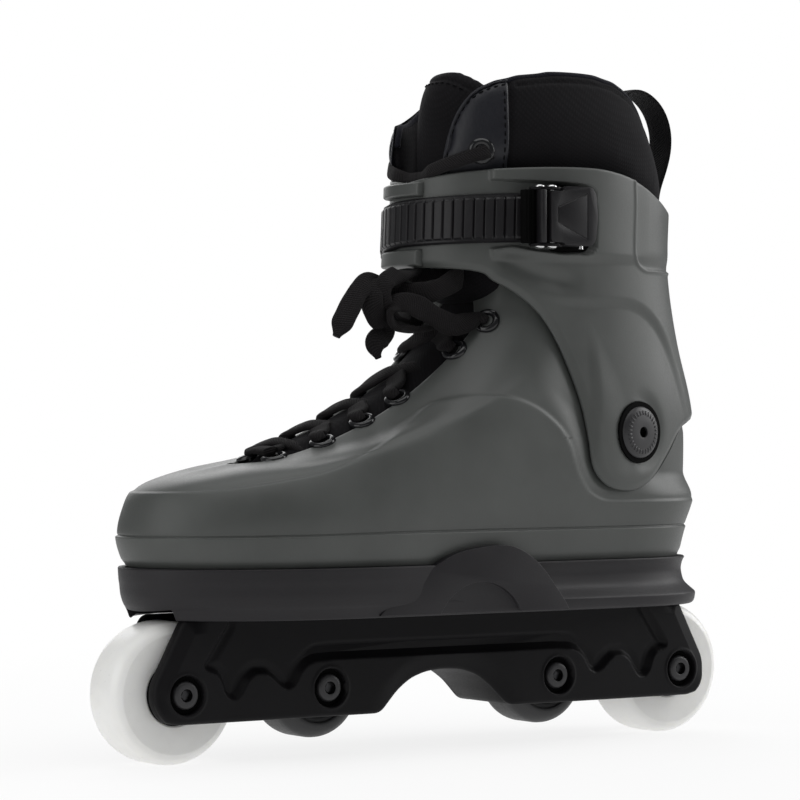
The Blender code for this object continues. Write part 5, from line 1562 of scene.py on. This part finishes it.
def make_laces(seats):
    near = [seats[2 * k] for k in range(6)]
    far = [seats[2 * k + 1] for k in range(6)]

    def strand(order):
        """Down the throat: into each eyelet from outside, under the flap, and over the tongue to the next."""
        points = []
        for index, (place, normal) in enumerate(order):
            inward = Vector((0, -math.copysign(1, place.y), 0))
            points += [(place + normal * 3.0 + inward * 4.6, normal),
                       (place + normal * 2.2 + inward * 1.0, normal),
                       (place - normal * 1.2 - inward * 0.2, normal + inward * 0.8),
                       (place - normal * 3.4 + inward * 2.6, normal)]
            if index + 1 < len(order):
                after, after_normal = order[index + 1]
                rise = (normal + after_normal).normalized()
                lift = 4.4 if place.y > 0 else 2.6
                points += [(place.lerp(after, share) + rise * out, rise)
                           for share, out in ((0.24, -2.6), (0.42, 1.6), (0.62, lift), (0.8, lift - 0.8))]
        return points

    def half(end, order):
        return [(Vector(place[:3]), Vector(place[3])) for place in end] + strand(order)[:-2]

    toe_bar = (near[0][0] + far[0][0]) / 2 + Vector((0.8, 0, 3.2))
    first = half(NEAR_END, [far[5], near[4], far[3], near[2], far[1], near[0]])
    second = half(FAR_END, [near[5], far[4], near[3], far[2], near[1], far[0]])
    route = first + [(toe_bar, Vector((0.2, 0, 1)))] + second[::-1]
    table = np.array([(*p, *Vector(n).normalized()) for p, n in route])
    table = worn(table, 1.7, 0.9)
    path, normals = table[:, :3], table[:, 3:]
    run = length_along(path)
    width, thickness = np.full(len(path), LACE_WIDTH), np.full(len(path), LACE_THICK)
    for place, normal in seats:
        close = np.exp(-((np.linalg.norm(path - np.array(place), axis=1) / 5.5) ** 2))
        width -= (LACE_WIDTH - 4.8) * close
        thickness += 1.0 * close
    # The knot draws the lace narrow, and the tips come to a folded point.
    knot = np.exp(-((np.linalg.norm(path - (27, 17, 192), axis=1) / 9.0) ** 2))
    width -= 2.4 * knot
    thickness += 0.5 * knot
    width *= 1 + 0.05 * np.sin(run / 4.1) + 0.04 * np.sin(run / 2.3 + 1)
    tip = 1 - smooth_step(0, 9, np.minimum(run, run[-1] - run))
    width -= (LACE_WIDTH - 3.0) * tip**2
    lace = ribbon("lace", path, width, thickness, LACE, normals, None, ["lace_lattice", "lace_bow"])
    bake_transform(lace)
    # A short lace between the collar's two eyelets, across the tongue.
    route = [(-15.8, 31.0, 251.6), (-11.2, 34.0, 252.2), (-4.4, 29, 249.7), (1.8, 21, 246.6),
             (4.2, 13, 244.4), (2.6, 6, 242), (2.4, -6, 242), (4.0, -13, 244.4), (1.4, -21, 246.6),
             (-4.4, -29, 249.7), (-11.2, -34.0, 252.2), (-15.8, -31.0, 251.6)]
    path = worn(route, 1.5, 0.9)
    way = np.stack([0.75 + 0 * path[:, 0], np.clip(path[:, 1] / 30, -1, 1), 0.25 + 0 * path[:, 0]], axis=1)
    run = np.linalg.norm(np.diff(path, axis=0), axis=1).sum()
    top = ribbon("collar_lace", path, 6.0, 2.6, LACE, way, "cuff_flap")


# ---------------------------------------------------------------- camera, light and floor

CAMERA_YAW, CAMERA_DISTANCE, CAMERA_HEIGHT = math.radians(34), 1329.8, 136.4
CAMERA_ASIDE = 10.41
CAMERA_LENS, CAMERA_SHIFT = 140.74, 0.0334


def make_camera():
    """Level camera on the outer side, 34 degrees round from square, at half the boot's height."""
    data = bpy.data.cameras.new("camera")
    camera = link("camera", data)
    data.sensor_width = 36
    data.lens = CAMERA_LENS
    data.shift_y = CAMERA_SHIFT
    data.clip_start, data.clip_end = 0.01, 50
    c, s = math.cos(CAMERA_YAW), math.sin(CAMERA_YAW)
    place = Vector((CAMERA_DISTANCE * s + CAMERA_ASIDE, CAMERA_DISTANCE * c, CAMERA_HEIGHT)) * MM
    turn = Matrix(((-c, s, 0), (0, 0, 1), (s, c, 0))).transposed().to_4x4()
    camera.matrix_world = Matrix.Translation(place) @ turn
    bpy.context.scene.camera = camera


# Soft boxes: name, place in metres, width and power.
STUDIO_GLOW = 0.16
STUDIO_LIGHTS = (("top", (0.05, 0.15, 1.5), 1.5, 12.5), ("left", (1.45, 0.08, 0.6), 1.1, 6.3),
                 ("right", (-1.3, 0.35, 0.75), 1.0, 12.5), ("behind", (-0.5, -1.5, 0.9), 1.2, 9))
LIGHTS_AIM = Vector((0, 0, 0.14))
# The floor's own glow, as the rest of the scene sees it and as the camera sees it near the skate.
FLOOR_BOUNCE, FLOOR_NEAR = 0.6, 0.82


def floor_paper():
    """White paper, lit up towards the horizon so that it meets the background."""
    material, shader, tree = new_material("floor", (0.9, 0.9, 0.9), 0.8)
    shader.inputs["Specular IOR Level"].default_value = 0.2
    spot = object_spot(tree)
    far = add_node(tree, "ShaderNodeVectorMath", operation="LENGTH")
    tree.links.new(spot, far.inputs[0])
    glow = add_node(tree, "ShaderNodeEmission", Strength=1.0)
    white = add_node(tree, "ShaderNodeMixShader")
    seen = tree.nodes.new("ShaderNodeLightPath")
    more = ramp(tree, far.outputs["Value"], 0.15, 0.6, FLOOR_NEAR - FLOOR_BOUNCE, 1.0 - FLOOR_BOUNCE)
    share = combine(tree, "ADD", combine(tree, "MULTIPLY", more, seen.outputs["Is Camera Ray"]), FLOOR_BOUNCE)
    tree.links.new(share, white.inputs[0])
    tree.links.new(shader.outputs[0], white.inputs[1])
    tree.links.new(glow.outputs[0], white.inputs[2])
    tree.links.new(white.outputs[0], tree.nodes["Material Output"].inputs[0])
    return material


def make_studio():
    scene = bpy.context.scene
    world = bpy.data.worlds.new("studio")
    scene.world = world
    world.use_nodes = True
    nodes, links = world.node_tree.nodes, world.node_tree.links
    background, white = nodes["Background"], nodes.new("ShaderNodeBackground")
    background.inputs[0].default_value = (0.96, 0.98, 1.0, 1)
    background.inputs[1].default_value = STUDIO_GLOW
    white.inputs[0].default_value = (1, 1, 1, 1)
    # The camera sees white, and the skate is lit by the dimmer glow.
    mix = nodes.new("ShaderNodeMixShader")
    links.new(nodes.new("ShaderNodeLightPath").outputs["Is Camera Ray"], mix.inputs[0])
    links.new(background.outputs[0], mix.inputs[1])
    links.new(white.outputs[0], mix.inputs[2])
    links.new(mix.outputs[0], nodes["World Output"].inputs[0])
    for name, place, size, power in STUDIO_LIGHTS:
        data = bpy.data.lights.new(name, "AREA")
        data.size = size
        data.energy = power
        light = link(name, data)
        light.location = place
        light.rotation_euler = (LIGHTS_AIM - Vector(place)).to_track_quat("-Z", "Y").to_euler()
    shape = bmesh.new()
    bmesh.ops.create_grid(shape, x_segments=1, y_segments=1, size=4000)
    floor = settle(bare("floor", shape), floor_paper(), smooth=False)
    scene.view_settings.view_transform = "Standard"


CARRIED_OVER = {"footbed": LINING, "shock_absorber": FOAM, "spacer": STEEL, "cuff_nut": STEEL,
                "frame_bolt": BLACK_STEEL, "frame_nut": STEEL, "buckle_pin": STEEL, "pawl_pin": STEEL,
                "buckle_pawl": STRAP_BLACK}


def finish_carried_over():
    """Parts kept from the solid model get the same materials as the rest."""
    for name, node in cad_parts.items():
        for start, material in CARRIED_OVER.items():
            if name.startswith(start) and name in bpy.data.objects:
                node.data.materials.clear()
                node.data.materials.append(material)


make_camera()
make_studio()
seats = eyelet_seats()
make_laces(seats)
make_shell()
make_eyelets(seats)
make_cuff()
make_cuff_bolts()
make_soul_plate()
make_frame()
make_wheels()
make_axles()
make_strap()
make_strap_screw()
make_buckle()
make_liner()
make_collar()
make_tongue()
make_pull_loop()
finish_carried_over()
